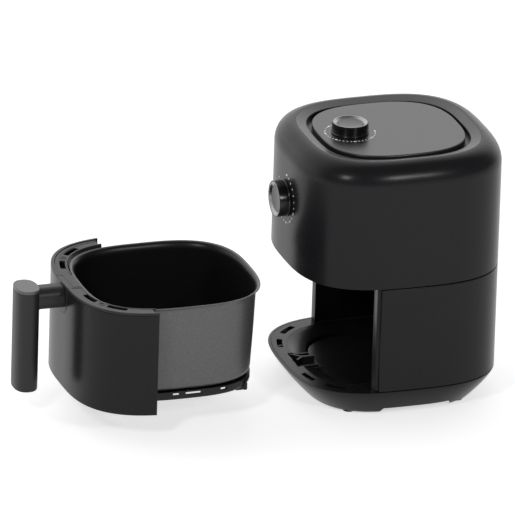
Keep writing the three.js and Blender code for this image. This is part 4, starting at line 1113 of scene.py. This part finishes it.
def handle_bracket():
    half = BRACKET_HALF
    at = (0, DRAWER_Y, 0)
    bm = bmesh.new()
    front, back = -CASING_FRONT - 0.3, -114
    tongue = tongue_loop(half, PANEL_TOP + 1.5)
    add_plate(bm, tongue, [], -back - CASING_FRONT, -front - CASING_FRONT, edge=0.5,
              at=(0, DRAWER_Y - CASING_FRONT, 0), turn=FACING_FRONT)
    plate = [(-half, -118), (half, -118), (half, -101.8), (-half, -101.8)]
    add_plate(bm, plate, [], CRESCENT_TOP - 1.6, CRESCENT_TOP, edge=0.4, at=at)
    inset = [(-half + 3, -112.4), (half - 3, -112.4), (half - 3, -104.2), (-half + 3, -104.2)]
    add_plate(bm, inset, [], CRESCENT_TOP - 0.6, CRESCENT_TOP + 0.3, edge=0.25, at=at)
    bead = [outline_point(CASING_W + 0.1, b) for b in range(-9, 10)]
    bead = [(-half, bead[0][1]), *[p for p in bead if abs(p[0]) < half], (half, bead[-1][1])]
    bead += [(half, -BEAD_INNER_W * CASING_RATIO), (-half, -BEAD_INNER_W * CASING_RATIO)]
    add_plate(bm, bead, [], PANEL_TOP - 2, BEAD_TOP, edge=0.6, at=at)
    piece("handle_carrier", "drawer", "handle_grey", HANDLE_GREY, bm, "handle_bracket")


def handle_arm():
    front, back = GRIP_Y + 4, high("handle_arm").y
    half_z = (ARM_TOP - ARM_BOTTOM) / 2
    middle_z = (ARM_TOP + ARM_BOTTOM) / 2
    waist = 0.985
    scales = [(front, 1.0), (GRIP_Y + 13.5, 1.0), (GRIP_Y + 15, waist), (back - 14, waist),
              (back - 6, 0.99), (back - 2, 1.0), (back, 1.0)]
    loop = rounded_rectangle(ARM_HALF, half_z, 11, 12)
    bm = bmesh.new()
    add_swept(bm, [[(x * scale, y, middle_z + z * scale) for x, z in loop] for y, scale in scales])
    piece("handle_bar", "drawer", "handle_grey", HANDLE_GREY, bm, "handle_arm")


def handle_grip():
    at = (0, GRIP_Y, 0)
    seam = GRIP_TOP - 3.6
    bm = bmesh.new()
    grip = rounded([
        (0, GRIP_BOTTOM, 0), (GRIP_W - 0.2, GRIP_BOTTOM, 2.2), (GRIP_W, GRIP_BOTTOM + 12, 0),
        (GRIP_W, seam, 0.35), (0, seam, 0)], steps=6)
    add_turned(bm, grip, GRIP, at=at, segments=160)
    piece("grip", "drawer", "handle_grey", HANDLE_GREY, bm, "handle_grip")
    cap = bmesh.new()
    w = GRIP_W - 0.15
    edge = rounded([
        (0, seam + 0.25, 0), (w, seam + 0.25, 0.3), (w, GRIP_TOP, 1.3), (w - 3, GRIP_TOP, 0),
        (0, GRIP_TOP, 0)], steps=6)
    add_turned(cap, edge, GRIP, at=at, segments=160)
    piece("grip_lid", "drawer", "cap_grey", CAP_GREY, cap, "grip_cap")


# ---- Pan, its carrier and the tray ----------------------------------------------------------


def pan():
    bottom, rim_z, rim_w = low("pan").z, high("pan").z, high("pan").x
    sheet = 1.4
    wall = 92.6
    outside = [
        (0, bottom), (60, bottom), (80, bottom),
        *arc(81, bottom + 8, 8, 8, -80, 0, 8),
        (wall - 1.2, bottom + 60), (wall, rim_z - 9), (wall + 0.5, rim_z - 6), (wall + 1.6, rim_z - 3.6),
        (wall + 3, rim_z - 2.2), (rim_w - 0.4, rim_z - 1.5),
    ]
    rim = [
        (rim_w, rim_z - 0.9), (rim_w - 0.1, rim_z - 0.2), (rim_w - 0.6, rim_z), (rim_w - 1.2, rim_z - 0.15),
    ]
    inside = [
        (wall + 2, rim_z - 0.9), (wall + 0.4, rim_z - 2.4), (wall - 0.8, rim_z - 5.2),
        (wall - sheet, rim_z - 9),
        (wall - 1.2 - sheet, bottom + 60),
        *arc(81, bottom + 8, 8 - sheet, 8 - sheet, 0, -80, 8),
        (80, bottom + sheet), (60, bottom + sheet), (0, bottom + sheet),
    ]
    bm = bmesh.new()
    add_turned(bm, outside + rim + inside, PAN, at=(0, PAN_Y, 0))
    obj = piece("frying_pan", "drawer", "pan_coating", PAN_OUTSIDE, bm, "pan")
    obj.data.materials.append(SHADED_PAN_COATING)
    # Faces that look into the pan get the darker copy of the coating, which paints the shade inside the pan.
    for polygon in obj.data.polygons:
        x, y = polygon.center.x / MM, polygon.center.y / MM - PAN_Y
        z = polygon.center.z / MM
        inward = polygon.normal.x * x + polygon.normal.y * y < 0
        on_floor = polygon.normal.z > 0.3 and z < rim_z - 4
        polygon.material_index = 1 if (inward and z < rim_z - 1.5) or on_floor else 0


def pan_carrier():
    """A thin-walled ring under the pan, with long slits that light shows through."""
    bottom, top = low("pan_carrier").z, high("pan_carrier").z
    outer_w = high("pan_carrier").x
    profile = rounded([
        (outer_w - 3, bottom, 0.5), (outer_w - 0.8, bottom, 0.8), (outer_w, bottom + 2, 0.8),
        (outer_w, top, 0.8), (outer_w - 12, top, 0), (outer_w - 12, top - 1.4, 0),
        (outer_w - 3, top - 1.4, 0.5)])
    bm = bmesh.new()
    add_turned(bm, profile, PAN, at=(0, PAN_Y, 0), closed=True)
    cutters = bmesh.new()
    slit = [
        (outer_w - 5, top - 5), (outer_w + 3, top - 5), (outer_w + 3, top - 1.8), (outer_w - 5, top - 1.8)]
    for start, end in CARRIER_SLITS:
        add_band(cutters, slit, start, end, outline=PAN, y=PAN_Y)
        add_band(cutters, slit, 360 - end, 360 - start, outline=PAN, y=PAN_Y)
    piece("carrier_ring", "drawer", "carrier_black", CARRIER_BLACK, bm, "pan_carrier", cutters=cutters)


def carrier_legs():
    """The two arms that tie the ring to the drawer front, and a hooked foot on each side."""
    bottom = low("pan_carrier").z
    arms = bmesh.new()
    for side in (-1, 1):
        x = side * 52
        add_rounded_box(arms, (x - 6, DRAWER_Y - 110.6, bottom), (x + 6, DRAWER_Y - 78, bottom + 5), 0.8)
    feet_nodes = ("carrier_foot_left", "carrier_foot_right")
    for node in feet_nodes:
        foot_low, foot_high = low(node), high(node)
        x, y = (foot_low.x + foot_high.x) / 2, (foot_low.y + foot_high.y) / 2
        outward = 1 if x > 0 else -1
        tip = x + outward * 3
        sole = foot_low.z + 0.2
        add_rounded_box(arms, (x - 4.2, y - 3.8, sole), (x + 4.2, y + 3.8, bottom + 8), 1.4)
        add_rounded_box(arms, (x - 4.2, y + 1, sole), (x + 4.2, y + 10, foot_low.z + 5.2), 1.8)
        add_rounded_box(arms, (tip - 2.4, y + 5.4, sole), (tip + 2.4, y + 10, foot_low.z + 9.5), 1.5)
    piece("carrier_legs", "drawer", "carrier_black", CARRIER_BLACK, arms, *feet_nodes)


def crisper_tray():
    bottom, top = low("crisper_tray").z, high("crisper_tray").z
    w = high("crisper_tray").x
    outer = [outline_point(w, 3 * i, PAN) for i in range(120)]
    pitch = 15
    holes = [circle(11.5)]
    for column in range(-4, 5):
        for row in range(-4, 5):
            x, y = column * pitch, row * pitch
            clear_of_middle = math.hypot(x, y) > 20
            inside = (abs(x) ** 3 + abs(y) ** 3) ** (1 / 3) < w - 14
            if clear_of_middle and inside:
                holes.append(circle(3.6, x, y, 20))
    bm = bmesh.new()
    at = (0, PAN_Y, 0)
    add_plate(bm, outer, holes, bottom, top, edge=0.4, at=at)
    lip = rounded([
        (w - 2.2, top - 0.6, 0), (w - 0.2, top - 0.6, 0),
        (w - 0.2, top + 2.4, 0.6), (w - 1.6, top + 2.4, 0.5)])
    add_turned(bm, lip, PAN, at=at, closed=True)
    collar = rounded([
        (11.4, top - 0.5, 0), (13.2, top - 0.5, 0), (13.2, top + 1.6, 0.6), (11.6, top + 1.6, 0.5)])
    add_turned(bm, collar, at=at, segments=64, closed=True)
    # The tray takes the darker copy of the pan's coating, which paints the shade of the pan's hollow.
    piece("frying_tray", "crisper", "pan_coating", SHADED_PAN_COATING, bm, "crisper_tray")
    for row in ("front", "rear"):
        for side in ("left", "right"):
            node = f"tray_bumper_{row}_{side}"
            foot_low, foot_high = low(node), high(node)
            centre = (foot_low + foot_high) / 2
            radius = foot_high.x - centre.x
            profile = rounded([
                (0, foot_low.z, 0), (radius, foot_low.z, 1.2), (radius - 0.8, foot_high.z, 0.6),
                (0, foot_high.z, 0)])
            bumper = bmesh.new()
            add_turned(bumper, profile, at=(centre.x, centre.y, 0), segments=40)
            piece(f"silicone_{row}_{side}", "crisper", "rubber", RUBBER, bumper, node)


# ---- Carried-over parts ---------------------------------------------------------------------

CARRIED_FINISHES = {
    "inner_black": INNER_BLACK,
    "bright_steel": STEEL,
    "element_steel": ELEMENT_STEEL,
    "motor_iron": COPPER,
    "component_cream": CREAM,
}


def finish_carried_parts():
    """Gives every CAD node that still shows its procedural material and softened edges."""
    slots = {part["node"]: part["material_slot"] for part in frame["record"]["subparts"]}
    for name, obj in frame["nodes"].items():
        if obj.hide_render:
            continue
        obj.data.materials.clear()
        obj.data.materials.append(CARRIED_FINISHES[slots[name]])
        softened = obj.modifiers.new("soft edges", "BEVEL")
        softened.width = 0.25 * MM
        softened.segments = 2
        softened.limit_method = "ANGLE"
        softened.angle_limit = SHARP_ANGLE
        even_normals(obj)


head_shell()
lid_frame()
lid()
exhaust_grille()
rear_housing()
drawer_bay()
base()
latch()
feet()
bottom_cover()
cord_gland()
dial("temperature", TEMPERATURE_AT, UPRIGHT)
dial("timer", TIMER_AT, FACING_FRONT)
lid_scale()
front_scale()
drawer_front()
drawer_top()
slot_wells()
top_plate_screws()
handle_bracket()
handle_arm()
handle_grip()
pan()
pan_carrier()
carrier_legs()
crisper_tray()
finish_carried_parts()
